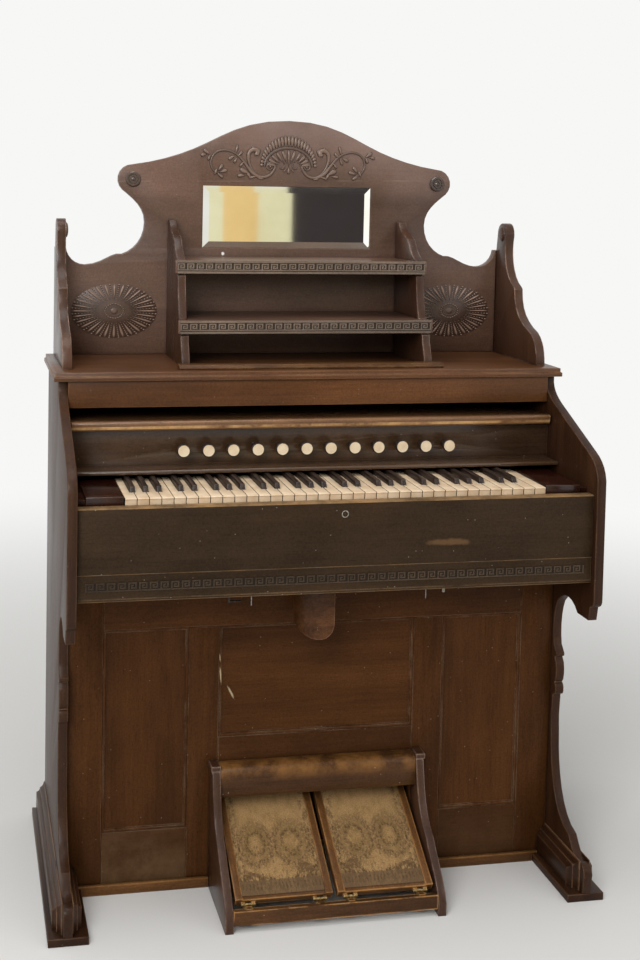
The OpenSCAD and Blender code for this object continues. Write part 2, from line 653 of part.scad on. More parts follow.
module crest_shell() color(walnut) {
    relief(fan_ground_h) polygon(concat([for (i = [0 : 24]) fan(i * 7.5, [0.95, 0.95])],
        [for (i = [16 : -1 : 0]) fan(i * 11.25, hollow)]));
    relief(relief_h) rays(shell_rays, arch_out, [1, 1], 0.85);
    relief(relief_h * 0.9) rays(shell_rays / 2, hollow, arch_in, 0.8);
    relief(relief_h) polygon(spread([0, shell_z], [shell_rx, shell_rz],
        [[0.05, 0.34], [-0.05, 0.34], [-0.06, 0.12], [-0.24, 0.05], [-0.16, -0.08], [0, -0.18],
         [0.16, -0.08], [0.24, 0.05], [0.06, 0.12]]));
    for (s = [0, 1]) mirror([s, 0, 0]) crest_vine();
}

rosette_h = 6.5;
module rosettes() color(walnut) for (s = [-1, 1]) translate([s * lobe_x, crest_y, lobe_z])
    rotate([90, 0, 0]) rotate_extrude($fn = 48) polygon(concat([[0, 0]],
        spread([0, 0], [rosette_r, rosette_h], [[1, 0], [1, 0.46], [0.88, 0.77], [0.7, 0.77],
            [0.65, 0.46], [0.55, 0.46], [0.5, 0.85], [0.35, 0.85], [0.3, 0.62], [0, 1]])));

// Carved sunbursts: an oval ground, a ring of petals and an oval boss
burst_x = (shelf_half + crest_half) / 2;
burst_rx = (crest_half - shelf_half) / 2 - burst_gap;
burst_z = top_z + 0.485 * (shoulder_z - top_z);
petals = 28;
petal_h = 3;
ground_h = 1.2;
function oval(a, k) = [burst_rx * k * cos(a), burst_rz * k * sin(a)];
module sunbursts() color(walnut) for (s = [-1, 1]) translate([s * burst_x, crest_y, burst_z])
    rotate([90, 0, 0]) {
        linear_extrude(ground_h) polygon([for (i = [0 : 47]) oval(i * 7.5, 1)]);
        for (i = [0 : petals - 1]) let (a = i * 360 / petals, w = 180 / petals) linear_extrude(petal_h)
            polygon([oval(a - w * 0.5, 0.34), oval(a - w * 0.78, 0.9), oval(a, 0.97),
                oval(a + w * 0.78, 0.9), oval(a + w * 0.5, 0.34)]);
        linear_extrude(petal_h * 1.13) polygon([for (i = [0 : 23]) oval(i * 15, 0.24)]);
    }

// End brackets: a roll at the top, a step and a long curve down to the top board
roll_r = 25;
roll_rise = 39;                          // roll above the end of the crest
roll_set = 31;                           // roll in front of the crest
roll_z = crest_end_z + roll_rise;
roll_y = crest_y - roll_set;
bracket_y = top_y + bracket_front;
roll_h = roll_z - top_z;
step_y = roll_y - 76;
step_z = roll_z - 118;
step_d = 4;
module end_bracket_outline() polygon(concat(
    [[case_back, top_z], [case_back, crest_end_z], [crest_y, crest_end_z]],
    arc([roll_y, roll_z], roll_r, 0, 180, 8),
    swing([roll_y - roll_r, roll_z], [step_y - roll_y + roll_r, step_z - roll_z],
        [[0, 0.03], [-0.21, 0.3], [-0.1, 0.81], [1, 1]], 8),
    [[step_y, step_z], [step_y - step_d, step_z - step_d]],
    swing([step_y, step_z], [bracket_y - step_y, top_z - step_z],
        [[0.03, 0.04], [0.04, 0.32], [0.27, 0.47], [0.71, 0.576]]),
    swing([step_y, step_z], [bracket_y - step_y, top_z - step_z],
        [[0.71, 0.576], [0.93, 0.677], [0.994, 0.808], [1, 1]]),
    [[bracket_y, top_z]]));
boss_r = 17;
boss_h = 6;
module end_bracket() {
    yz_board(crest_half, bracket_t) end_bracket_outline();
    translate([crest_half, roll_y, roll_z]) rotate([0, -90, 0]) rotate_extrude($fn = 40)
        polygon(concat([[0, -overlap], [boss_r, -overlap]],
            spread([0, 0], [boss_r, boss_h], [[1, 0.2], [0.9, 0.6], [0.7, 0.85], [0.4, 0.97], [0, 1]])));
}
module left_end_bracket() color(walnut) on_left() end_bracket();
module right_end_bracket() color(walnut) end_bracket();

// Shelf brackets: one curve above the upper shelf, one between the shelves and one below
shelf_bracket_out = 5;                   // shelf edges past the brackets
bracket_x1 = shelf_half - shelf_bracket_out;
bracket_x0 = bracket_x1 - shelf_bracket_t;
low_edge_y = top_y + low_shelf_set;
high_edge_y = low_edge_y + shelf_step;
edge_t = 10;
low_z = top_z + low_shelf_z;
high_z = top_z + high_shelf_z;
bracket_over = 82;                       // brackets above the upper shelf
bracket_top = high_z + shelf_edge_h + bracket_over;
bracket_foot = 17;                       // foot in front of the lower shelf
notch = 4;
module shelf_bracket_outline() polygon(concat(
    [[crest_y, top_z], [crest_y, bracket_top]],
    swing([crest_y, bracket_top], [high_edge_y + edge_t - crest_y, notch - bracket_over],
        [[0.16, 0], [0.2, 0.28], [0.44, 0.31], [0.64, 0.5]], 7),
    swing([crest_y, bracket_top], [high_edge_y + edge_t - crest_y, notch - bracket_over],
        [[0.64, 0.52], [0.7, 0.74], [0.82, 0.9], [1, 1]], 4),
    [[high_edge_y + edge_t, high_z + shelf_edge_h], [high_edge_y + edge_t, high_z - notch]],
    swing([high_edge_y, high_z], [low_edge_y - high_edge_y, low_z + shelf_edge_h - high_z],
        [[-0.04, 0.04], [-0.04, 0.36], [0.15, 0.73], [0.38, 1]], 6),
    spread([high_edge_y, high_z], [low_edge_y - high_edge_y, low_z + shelf_edge_h - high_z], [[0.38, 1]]),
    [[low_edge_y + edge_t, low_z + shelf_edge_h], [low_edge_y + edge_t, low_z - notch]],
    swing([low_edge_y, low_z], [-bracket_foot, top_z - low_z],
        [[-0.12, 0.06], [-0.12, 0.4], [0.7, 0.6], [0.95, 0.85]], 5),
    [[low_edge_y - bracket_foot, top_z]]));
module shelf_bracket() yz_board(bracket_x0, shelf_bracket_t) shelf_bracket_outline();
module left_shelf_bracket() color(walnut) on_left() shelf_bracket();
module right_shelf_bracket() color(walnut) shelf_bracket();

module shelf(edge_y, z) {
    block([-shelf_half, edge_y, z], [shelf_half, edge_y + edge_t, z + shelf_edge_h]);
    block([-bracket_x0, edge_y + edge_t - overlap, z + shelf_edge_h - shelf_t],
        [bracket_x0, crest_y, z + shelf_edge_h]);
}
module upper_shelf() color(walnut) shelf(high_edge_y, high_z);
module lower_shelf() color(walnut) shelf(low_edge_y, low_z);

// Stepped strip that keeps a music book from sliding off the top board
music_over = 6;                          // strip past the ends of the shelves
music_set = 27;
music_d = 30;
music_h = 10;
music_y = top_y + music_set;
module music_ledge() color(worn_walnut)
    yz_board(-shelf_half - music_over, 2 * (shelf_half + music_over)) polygon(
        spread([music_y, top_z], [music_d, music_h],
            [[0, 0], [0, 0.5], [0.13, 0.6], [0.2, 1], [1, 1], [1, 0]]));

// Pedal box: two curved cheeks, a rail over the pedals and a rail at their hinges
cheek_set = 31;                          // flat top of a cheek
cheek_cap = 8;
cap_t = 11;
cheek_d = panel_y - front_y;
cheek_z = cheek_h - cheek_cap;
cap_y = panel_y - cheek_set;
cheek_foot = 25;
module pedal_cheek() {
    yz_board(well_half, cheek_t) polygon(concat(
        [[panel_y, 0], [panel_y, cheek_z], [cap_y, cheek_z]],
        swing([front_y, 0], [cheek_d, cheek_z],
            [[0.812, 0.976], [0.758, 0.787], [0.694, 0.575], [0.441, 0.476]]),
        swing([front_y, 0], [cheek_d, cheek_z],
            [[0.441, 0.476], [0.269, 0.331], [0.065, 0.252], [0, 0.1]]),
        [[front_y, cheek_foot], [front_y, 0]]));
    block([well_half, cap_y - cheek_cap / 2, cheek_z], [cheek_out + bead_set * 3, panel_y, cheek_z + cap_t]);
}
module left_pedal_cheek() color(walnut) on_left() pedal_cheek();
module right_pedal_cheek() color(walnut) pedal_cheek();

over_rail_d = 33;
over_rail_y = panel_y - over_rail_d;
over_rail_z = cheek_h - over_rail_h;
over_round = 18;
module pedal_over_rail() color(worn_walnut) yz_board(-well_half, 2 * well_half) polygon(concat(
    [[panel_y, over_rail_z], [panel_y, cheek_h]],
    arc([over_rail_y + over_round, cheek_h - over_round], over_round, 90, 180, 6),
    spread([over_rail_y, over_rail_z], [over_rail_d, over_rail_h], [[0, 0.06], [0.06, 0]])));

// Pedal hinges: leaves, middle barrels and pins on the front rail, outer barrels on the pedals
hinge_set = 21;                          // hinge line behind the pedal box front
hinge_y = front_y + hinge_set;
hinge_z = 46;
pin_r = 1.5;
mid_barrel = 12;
end_barrel = 8;
leaf_t = 1.5;
hinge_in = 26;                           // hinges in from the edges of a pedal
pedal_side_gap = 6;
pedal_x0 = pedal_gap / 2;
pedal_x1 = well_half - pedal_side_gap;
hinge_xs = [pedal_x0 + hinge_in, pedal_x1 - hinge_in];
rail_set = 3;
rail_z0 = 14;
rail_y1 = hinge_y - barrel_r - 3.5;
module pedal_front_rail() color(worn_walnut) {
    block([-well_half, front_y + rail_set, rail_z0], [well_half, rail_y1, hinge_z - barrel_r]);
    for (s = [-1, 1]) for (x = hinge_xs) translate([s * x, 0, 0]) {
        block([-mid_barrel / 2, front_y + rail_set + 5, hinge_z - barrel_r - overlap],
            [mid_barrel / 2, hinge_y, hinge_z - barrel_r + leaf_t]);
        translate([-mid_barrel / 2, hinge_y, hinge_z]) rotate([0, 90, 0])
            cylinder(h = mid_barrel, r = barrel_r, $fn = 32);
        translate([-mid_barrel / 2 - end_barrel, hinge_y, hinge_z]) rotate([0, 90, 0])
            cylinder(h = mid_barrel + 2 * end_barrel, r = pin_r, $fn = 32);
    }
}

// Pedals: a board with side battens, drawn level with the hinge axis on the X axis
pedal_face = 8;                          // face of the board above the hinge axis
pedal_heel = 4;                          // end of the board behind the hinge axis
batten_w = 15;
batten_h = 3;
barrel_gap = 0.4;
module in_pedal_place() translate([0, hinge_y, hinge_z]) rotate([pedal_slope, 0, 0]) children();
module pedal() in_pedal_place() difference() {
    union() {
        block([pedal_x0, pedal_heel, pedal_face - pedal_t], [pedal_x1, pedal_len, pedal_face]);
        for (x = [pedal_x0, pedal_x1 - batten_w]) block([x, pedal_heel, pedal_face - overlap],
            [x + batten_w, pedal_len, pedal_face + batten_h]);
        for (x = hinge_xs) for (s = [0, 1]) translate([x, 0, 0]) mirror([s, 0, 0]) {
            translate([mid_barrel / 2 + barrel_gap, 0, 0]) rotate([0, 90, 0])
                cylinder(h = end_barrel - barrel_gap, r = barrel_r, $fn = 32);
            block([mid_barrel / 2 + barrel_gap, 0, -barrel_r],
                [mid_barrel / 2 + end_barrel, pedal_heel + overlap, barrel_r]);
        }
    }
    for (x = hinge_xs) translate([x - mid_barrel - end_barrel, 0, 0]) rotate([0, 90, 0])
        cylinder(h = 2 * (mid_barrel + end_barrel), r = pin_r + pin_gap, $fn = 32);
}
module left_pedal() color(worn_walnut) on_left() pedal();
module right_pedal() color(worn_walnut) pedal();

carpet_start = 12;
carpet_stop = 6;
module carpet() in_pedal_place() block([pedal_x0 + batten_w, carpet_start, pedal_face],
    [pedal_x1 - batten_w, pedal_len - carpet_stop, pedal_face + carpet_t]);
module left_carpet() color(carpet_tone) on_left() carpet();
module right_carpet() color(carpet_tone) carpet();

// Lining of the pedal well behind the front, with room for a pedal at both ends of its turn
lining_t = 10;
well_room = 6;                           // above the pedals at rest
well_depth_room = 42;                    // behind the pedals when pressed
well_roof_z = max(mid_rail_z, hinge_z + pedal_len * sin(pedal_slope)
    + (pedal_face + batten_h) * cos(pedal_slope) + well_room);
well_back_y = hinge_y + pedal_len * cos(pedal_slope - pedal_travel) + well_depth_room;
module pedal_well() color(dark_walnut) {
    for (s = [0, 1]) mirror([s, 0, 0])
        block([well_half, frame_back, 0], [well_half + lining_t, well_back_y, well_roof_z]);
    block([-well_half - lining_t, well_back_y, 0],
        [well_half + lining_t, well_back_y + lining_t, well_roof_z + lining_t]);
    block([-well_half - lining_t, frame_back, well_roof_z],
        [well_half + lining_t, well_back_y + overlap, well_roof_z + lining_t]);
}

// Knee lever: a barrel on the rod, a quarter-round plate and a curved paddle with round ends
paddle_right = 39;                       // middle of the paddle's curve right of the rod
paddle_x = paddle_right - knee_left;
paddle_back = 40;                        // middle of the paddle's curve behind the rod's middle
paddle_y = pivot_y + paddle_back;
paddle_drop = 7;
paddle_top = pivot_z - paddle_drop;
paddle_round = 33;
lever_r = 8;
module knee_lever() color(worn_walnut) difference() {
    union() {
        translate([-knee_left, pivot_y + barrel_len / 2, pivot_z]) rotate([90, 0, 0])
            cylinder(h = barrel_len, r = lever_r, $fn = 32);
        intersection() {
            translate([paddle_x, paddle_y, paddle_top - paddle_t])
                cylinder(h = paddle_t, r = paddle_r, $fn = 64);
            block([paddle_x - paddle_r + overlap, paddle_y - paddle_r, paddle_top - paddle_t],
                [paddle_x, paddle_y - paddle_drop, paddle_top]);
        }
        intersection() {
            difference() {
                translate([paddle_x, paddle_y, paddle_top - paddle_h])
                    cylinder(h = paddle_h, r = paddle_r, $fn = 64);
                translate([paddle_x, paddle_y, paddle_top - paddle_h - overlap])
                    cylinder(h = paddle_h + 2 * overlap, r = paddle_r - paddle_t, $fn = 64);
            }
            xz_board(paddle_y - paddle_r - overlap, paddle_r - paddle_drop + overlap) polygon(concat(
                [[paddle_x, paddle_top], [paddle_x - paddle_r - overlap, paddle_top]],
                arc([paddle_x - paddle_r + paddle_round, paddle_top - paddle_h + paddle_round],
                    paddle_round, 180, 270, 6),
                arc([paddle_x - paddle_round, paddle_top - paddle_h + paddle_round],
                    paddle_round, 270, 360, 6)));
        }
    }
    translate([-knee_left, pivot_y + barrel_len / 2 + overlap, pivot_z]) rotate([90, 0, 0])
        cylinder(h = barrel_len + 2 * overlap, r = pivot_r + pin_gap, $fn = 32);
}

left_side();
right_side();
left_foot_plate();
right_foot_plate();
left_foot_block();
right_foot_block();
front_stiles();
front_rails();
left_panel();
centre_panel();
right_panel();
base_strip();
key_slip();
key_bed();
reed_chest();
left_key_block();
right_key_block();
natural_keys();
sharp_keys();
key_ledge();
stop_board();
for (i = [1 : stops]) stop_knob(i);
key_lid();
fascia();
top_board();
back_board();
crest_board();
crest_shell();
bevelled_mirror();  // mirror
rosettes();
sunbursts();
left_end_bracket();
right_end_bracket();
left_shelf_bracket();
right_shelf_bracket();
upper_shelf();
lower_shelf();
music_ledge();
left_pedal_cheek();
right_pedal_cheek();
pedal_over_rail();
pedal_front_rail();
pedal_well();
left_pedal();
right_pedal();
left_carpet();
right_carpet();
knee_lever();
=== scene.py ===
# Parlour reed organ: finishes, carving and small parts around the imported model.
import json
import math

import bpy
from mathutils import Matrix, Quaternion, Vector

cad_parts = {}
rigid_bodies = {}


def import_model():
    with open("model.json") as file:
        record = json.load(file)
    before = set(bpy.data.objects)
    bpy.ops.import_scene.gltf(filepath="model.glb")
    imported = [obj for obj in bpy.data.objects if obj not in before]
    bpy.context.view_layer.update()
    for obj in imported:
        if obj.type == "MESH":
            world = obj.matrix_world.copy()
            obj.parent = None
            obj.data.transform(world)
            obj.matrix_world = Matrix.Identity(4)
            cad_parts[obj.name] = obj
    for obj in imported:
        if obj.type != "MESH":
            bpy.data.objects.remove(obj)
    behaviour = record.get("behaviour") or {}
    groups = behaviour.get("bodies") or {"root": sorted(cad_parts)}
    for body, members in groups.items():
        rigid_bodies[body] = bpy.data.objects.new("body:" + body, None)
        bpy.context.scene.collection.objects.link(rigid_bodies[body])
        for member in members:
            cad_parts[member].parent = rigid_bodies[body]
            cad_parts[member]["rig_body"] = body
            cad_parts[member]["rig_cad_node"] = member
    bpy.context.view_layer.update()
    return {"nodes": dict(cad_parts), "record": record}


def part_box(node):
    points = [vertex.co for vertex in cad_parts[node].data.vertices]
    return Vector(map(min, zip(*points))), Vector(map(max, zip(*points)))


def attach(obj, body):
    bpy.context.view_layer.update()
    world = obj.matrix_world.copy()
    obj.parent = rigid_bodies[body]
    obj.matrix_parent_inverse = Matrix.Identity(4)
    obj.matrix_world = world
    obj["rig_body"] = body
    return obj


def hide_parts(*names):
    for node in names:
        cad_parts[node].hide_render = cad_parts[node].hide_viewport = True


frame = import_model()
record = frame["record"]
bodyOfNode = {n: b for b, names in record["behaviour"]["bodies"].items() for n in names}
slotOfNode = {p["node"]: p["material_slot"] for p in record["subparts"]}
print("frame loaded:", len(frame["nodes"]), "nodes")


# Camera, where the photograph was taken from

cameraLook = {"place": (-0.738, -2.7016, 1.4458), "yaw": 10.552, "pitch": 3.734, "roll": 0.973,
              "sensor": 36, "lens": 50.09, "shift": (0.12, -0.22), "clip": (0.05, 60)}


def addCamera():
    look = cameraLook
    yaw, pitch = math.radians(look["yaw"]), math.radians(look["pitch"])
    forward = Vector((math.sin(yaw) * math.cos(pitch), math.cos(yaw) * math.cos(pitch), -math.sin(pitch)))
    bpy.ops.object.camera_add(location=look["place"])
    camera = bpy.context.object
    camera.name = "photoCamera"
    turn = forward.to_track_quat("-Z", "Y") @ Quaternion((0, 0, 1), math.radians(look["roll"]))
    camera.rotation_euler = turn.to_euler()
    camera.data.sensor_width, camera.data.lens = look["sensor"], look["lens"]
    camera.data.shift_x, camera.data.shift_y = look["shift"]
    camera.data.clip_start, camera.data.clip_end = look["clip"]
    bpy.context.scene.camera = camera


addCamera()
print("camera set")


# Small helpers for node trees; a node goes into the tree of the first socket that it reads

black, white = (0, 0, 0, 1), (1, 1, 1, 1)


def gray(level):
    return level, level, level, 1


def setAll(target, settings):
    for key, value in settings.items():
        setattr(target, key, value)


def fillInputs(node, inputs):
    for key, value in dict(inputs).items():
        if isinstance(value, bpy.types.NodeSocket):
            node.id_data.links.new(value, node.inputs[key])
        else:
            node.inputs[key].default_value = value


def addNode(tree, kind, inputs=(), **settings):
    made = tree.nodes.new("ShaderNode" + kind)
    setAll(made, settings)
    fillInputs(made, inputs)
    return made


def newMaterial(name):
    material = bpy.data.materials.new(name)
    material.use_nodes = True
    tree = material.node_tree
    tree.nodes.clear()
    shader = addNode(tree, "BsdfPrincipled")
    addNode(tree, "OutputMaterial", {"Surface": shader.outputs["BSDF"]})
    return material, tree, shader


def treeOf(*values):
    return next(value.id_data for value in values if isinstance(value, bpy.types.NodeSocket))


def objectPlace(tree):
    return addNode(tree, "TexCoord").outputs["Object"]


def maths(kind, first, second=0.0):
    return addNode(treeOf(first, second), "Math", {0: first, 1: second}, operation=kind).outputs[0]


def times(first, *others):
    for other in others:
        first = maths("MULTIPLY", first, other)
    return first


def plus(first, second):
    return maths("ADD", first, second)


def minus(first, second):
    return maths("SUBTRACT", first, second)


def apart(first, second):
    return maths("ABSOLUTE", minus(first, second))


def above(value, level):
    return maths("GREATER_THAN", value, level)


def below(value, level):
    return maths("LESS_THAN", value, level)


def between(value, low, high):
    return times(above(value, low), below(value, high))


def largest(first, *others):
    for other in others:
        first = maths("MAXIMUM", first, other)
    return first


def vectorMaths(kind, first, second, output="Vector"):
    made = addNode(treeOf(first), "VectorMath", {0: first, 1: second}, operation=kind)
    return made.outputs[output]


def lengthOf(vector):
    return addNode(treeOf(vector), "VectorMath", {0: vector}, operation="LENGTH").outputs["Value"]


def partOf(vector, axis):
    return addNode(treeOf(vector), "SeparateXYZ", {"Vector": vector}).outputs[axis]


def mapped(place, scale, shift=(0, 0, 0), turn=(0, 0, 0), **settings):
    made = addNode(treeOf(place), "Mapping",
                   {"Vector": place, "Location": shift, "Rotation": turn, "Scale": scale}, **settings)
    return made.outputs["Vector"]


def noise(place, scale, detail=2.0, roughness=0.5, distortion=0.0, output="Fac"):
    made = addNode(treeOf(place), "TexNoise",
                   {"Vector": place, "Scale": scale, "Detail": detail, "Roughness": roughness,
                    "Distortion": distortion})
    return made.outputs[output]


def remap(value, start, stop, low=0.0, high=1.0, **settings):
    made = addNode(treeOf(value), "MapRange",
                   {"Value": value, "From Min": start, "From Max": stop, "To Min": low, "To Max": high},
                   **settings)
    return made.outputs["Result"]


def ramp(value, low, high, start=black, end=white):
    made = addNode(treeOf(value), "ValToRGB", {"Fac": value})
    for stop, position, color in zip(made.color_ramp.elements, (low, high), (start, end)):
        stop.position, stop.color = position, color
    return made.outputs["Color"]


def mixColors(factor, first, second, kind="MIX"):
    made = addNode(treeOf(factor, first, second), "Mix", {0: factor, 6: first, 7: second},
                   data_type="RGBA", blend_type=kind)
    return made.outputs[2]


def bumpFrom(height, strength, distance):
    made = addNode(treeOf(height), "Bump", {"Height": height, "Strength": strength, "Distance": distance})
    return made.outputs["Normal"]


# Woods: long grain streaks, pores, blotches in the stain, pale edges that are partly rubbed varnish and partly a
# painted highlight, and corners darkened partly by dirt and partly by painted shade

# worn is the pale colour of the edges, partly rubbed varnish and partly a painted highlight
walnutLook = {"dark": (0.020, 0.008, 0.004, 1), "light": (0.070, 0.030, 0.013, 1),
              "worn": (0.30, 0.16, 0.085, 1), "rough": (0.32, 0.46), "coat": 0.08, "wear": 0.9, "edge": 0.0035,
              "rubs": (0.36, 0.62), "shine": 0.12, "grime": 0.55, "crevice": 0.009, "figure": (0.30, 0.74),
              "specks": 0.25}
woodLooks = {
    "walnut": {},
    "crestWalnut": {"dark": (0.086, 0.045, 0.029, 1), "light": (0.160, 0.088, 0.058, 1), "rough": (0.30, 0.44),
                    "worn": (0.36, 0.21, 0.15, 1), "shine": 0.30, "figure": (0.22, 0.84)},
    "bracketWalnut": {"dark": (0.044, 0.019, 0.010, 1), "light": (0.100, 0.047, 0.027, 1), "rough": (0.26, 0.38),
                      "worn": (0.50, 0.33, 0.25, 1), "shine": 0.22, "wear": 1.0, "edge": 0.0045,
                      "rubs": (0.44, 0.62)},
    "fasciaWalnut": {"dark": (0.070, 0.027, 0.009, 1), "light": (0.175, 0.072, 0.025, 1), "figure": (0.26, 0.80),
                     "worn": (0.42, 0.22, 0.10, 1), "wear": 0.85},
    "topWalnut": {"dark": (0.052, 0.021, 0.009, 1), "light": (0.165, 0.068, 0.026, 1), "rough": (0.28, 0.42),
                  "worn": (0.46, 0.24, 0.11, 1), "shine": 0.18, "specks": 0.6},
    "panelWalnut": {"dark": (0.038, 0.014, 0.004, 1), "light": (0.112, 0.044, 0.014, 1), "coat": 0.02,
                    "worn": (0.46, 0.31, 0.19, 1), "wear": 0.95, "edge": 0.0028, "rubs": (0.42, 0.58),
                    "shine": 0.05, "figure": (0.24, 0.80), "specks": 0.4},
    "leverWalnut": {"dark": (0.030, 0.010, 0.003, 1), "light": (0.150, 0.062, 0.022, 1), "figure": (0.34, 0.70)},
    "slipWalnut": {"dark": (0.028, 0.016, 0.008, 1), "light": (0.054, 0.032, 0.017, 1), "rough": (0.40, 0.55),
                   "worn": (0.24, 0.15, 0.08, 1), "coat": 0.03, "wear": 0.8, "shine": 0.07,
                   "figure": (0.25, 0.80), "specks": 0.5},
    "blockWalnut": {"dark": (0.014, 0.0035, 0.002, 1), "light": (0.046, 0.012, 0.006, 1), "rough": (0.14, 0.24),
                    "coat": 0.25, "wear": 0.5, "shine": 0.3},
    "stopWalnut": {"dark": (0.032, 0.017, 0.009, 1), "light": (0.105, 0.056, 0.028, 1), "rough": (0.16, 0.28),
                   "coat": 0.25, "wear": 0.5, "shine": 0.35, "figure": (0.25, 0.80), "specks": 0.5},
    "lidWalnut": {"dark": (0.080, 0.036, 0.015, 1), "light": (0.270, 0.135, 0.062, 1), "rough": (0.20, 0.34),
                  "worn": (0.70, 0.44, 0.21, 1), "coat": 0.2, "wear": 1.0, "edge": 0.005,
                  "rubs": (0.38, 0.56), "shine": 0.3},
    "wornWalnut": {"dark": (0.066, 0.027, 0.008, 1), "light": (0.205, 0.092, 0.030, 1), "rough": (0.38, 0.56),
                   "worn": (0.52, 0.26, 0.085, 1), "coat": 0.05, "wear": 1.0, "edge": 0.006,
                   "figure": (0.28, 0.76)},
    "railWalnut": {"dark": (0.038, 0.016, 0.005, 1), "light": (0.130, 0.058, 0.022, 1), "rough": (0.28, 0.42),
                   "worn": (0.52, 0.27, 0.10, 1), "coat": 0.06, "wear": 1.0, "edge": 0.005,
                   "rubs": (0.44, 0.60), "shine": 0.14, "specks": 0.8},
    "carvedWalnut": {"dark": (0.086, 0.047, 0.031, 1), "light": (0.140, 0.080, 0.054, 1), "rough": (0.24, 0.36),
                     "worn": (0.34, 0.22, 0.16, 1), "wear": 0.2, "edge": 0.0012, "grime": 0.85,
                     "crevice": 0.003, "shine": 0.45, "specks": 0.0},
    "turnedWalnut": {"dark": (0.034, 0.018, 0.012, 1), "light": (0.070, 0.040, 0.028, 1), "rough": (0.16, 0.26),
                     "worn": (0.40, 0.29, 0.23, 1), "wear": 0.45, "edge": 0.0012, "rubs": (0.05, 0.30),
                     "crevice": 0.004, "grime": 0.9, "shine": 0.6, "specks": 0.0},
    "shelfBorder": {"dark": (0.120, 0.086, 0.066, 1), "light": (0.290, 0.225, 0.180, 1), "rough": (0.34, 0.48),
                    "worn": (0.46, 0.37, 0.29, 1), "wear": 0.6, "edge": 0.0006, "grime": 0.0, "specks": 0.0},
    "slipBorder": {"dark": (0.030, 0.020, 0.012, 1), "light": (0.085, 0.058, 0.038, 1), "rough": (0.40, 0.55),
                   "worn": (0.20, 0.14, 0.09, 1), "coat": 0.0, "wear": 0.6, "edge": 0.0006, "grime": 0.0,
                   "specks": 0.0},
    "innerWood": {"dark": (0.030, 0.016, 0.009, 1), "light": (0.090, 0.052, 0.028, 1), "rough": (0.6, 0.75),
                  "coat": 0.0, "wear": 0.2},
}
grainAxes = {"X": (1, 0, 0), "Y": (0, 1, 0), "Z": (0, 0, 1)}
# stretch across and along the grain, then the noise's scale, detail, roughness and distortion
grainLayers = {"figure": (9, 0.9, 1.4, 5.0, 0.62, 1.1), "streaks": (70, 2.2, 2.4, 4.0, 0.7),
               "pores": (240, 16, 3.2, 1.0), "blotch": (1, 0.6, 4.5, 3.0, 0.6), "rubs": (6, 3, 3.0, 6.0, 0.72)}
grainLook = {"figure": 0.62, "streaks": 0.38, "pores": (0.60, 0.70), "poreShare": 0.55,
             "blotch": (0.32, 0.70, (0.62, 0.60, 0.58, 1), (1.18, 1.16, 1.14, 1)), "fine": (240.0, 3.0, 0.7),
             "fineTones": (0.30, 0.70, gray(0.80), (1.22, 1.20, 1.17, 1)), "roughBlotch": (0.3, 0.7),
             "streakHigh": 0.5, "poreDeep": 0.6, "bump": (0.22, 0.0008), "coatRoughness": 0.22,
             "shift": ((0.37, 0.11), (0.71, 0.23), (0.53, 0.31))}
# dirt is the dark colour put into corners and crevices, partly dirt and partly painted shade
ageLook = {"edgeGain": 9.0, "edgeSamples": 6, "shade": (0.25, 0.85), "shadeSamples": 5,
           "dirt": (0.010, 0.006, 0.004, 1), "speckScale": 75.0, "speckSize": 0.075, "speckFew": 0.72,
           "speckColor": (0.42, 0.34, 0.27, 1)}
madeWoods = {}


def wornAndLitEdges(tree, color, look, rubs):
    # pale edges, partly rubbed varnish and partly a painted highlight: where the rounded normal differs from the flat
    # one, broken up by noise
    rounded = addNode(tree, "Bevel", {"Radius": look["edge"]}, samples=ageLook["edgeSamples"]).outputs["Normal"]
    flat = addNode(tree, "NewGeometry").outputs["Normal"]
    edge = minus(1.0, vectorMaths("DOT_PRODUCT", rounded, flat, "Value"))
    wornAndLitShare = times(edge, ageLook["edgeGain"], ramp(rubs, *look["rubs"]))
    return mixColors(times(maths("MINIMUM", wornAndLitShare, 1.0), look["wear"]), color, look["worn"])


def cornerLight(tree, distance):
    return addNode(tree, "AmbientOcclusion", {"Distance": distance}, samples=ageLook["shadeSamples"]).outputs["AO"]


# darker in corners and crevices by ambient occlusion: partly dirt, partly painted shade; grime sets how much and
# crevice how far
def dirtAndShadeInCorners(tree, color, look):
    shade = ramp(cornerLight(tree, look["crevice"]), *ageLook["shade"])
    dirty = times(minus(1.0, shade), look["grime"])
    return mixColors(dirty, color, ageLook["dirt"])


def paintSpecks(tree, place, color, share):
    dots = addNode(tree, "TexVoronoi", {"Vector": place, "Scale": ageLook["speckScale"]}).outputs
    picked = addNode(tree, "SeparateColor", {0: dots["Color"]}).outputs[0]
    speck = times(below(dots["Distance"], ageLook["speckSize"]), above(picked, ageLook["speckFew"]), share)
    return mixColors(speck, color, ageLook["speckColor"])


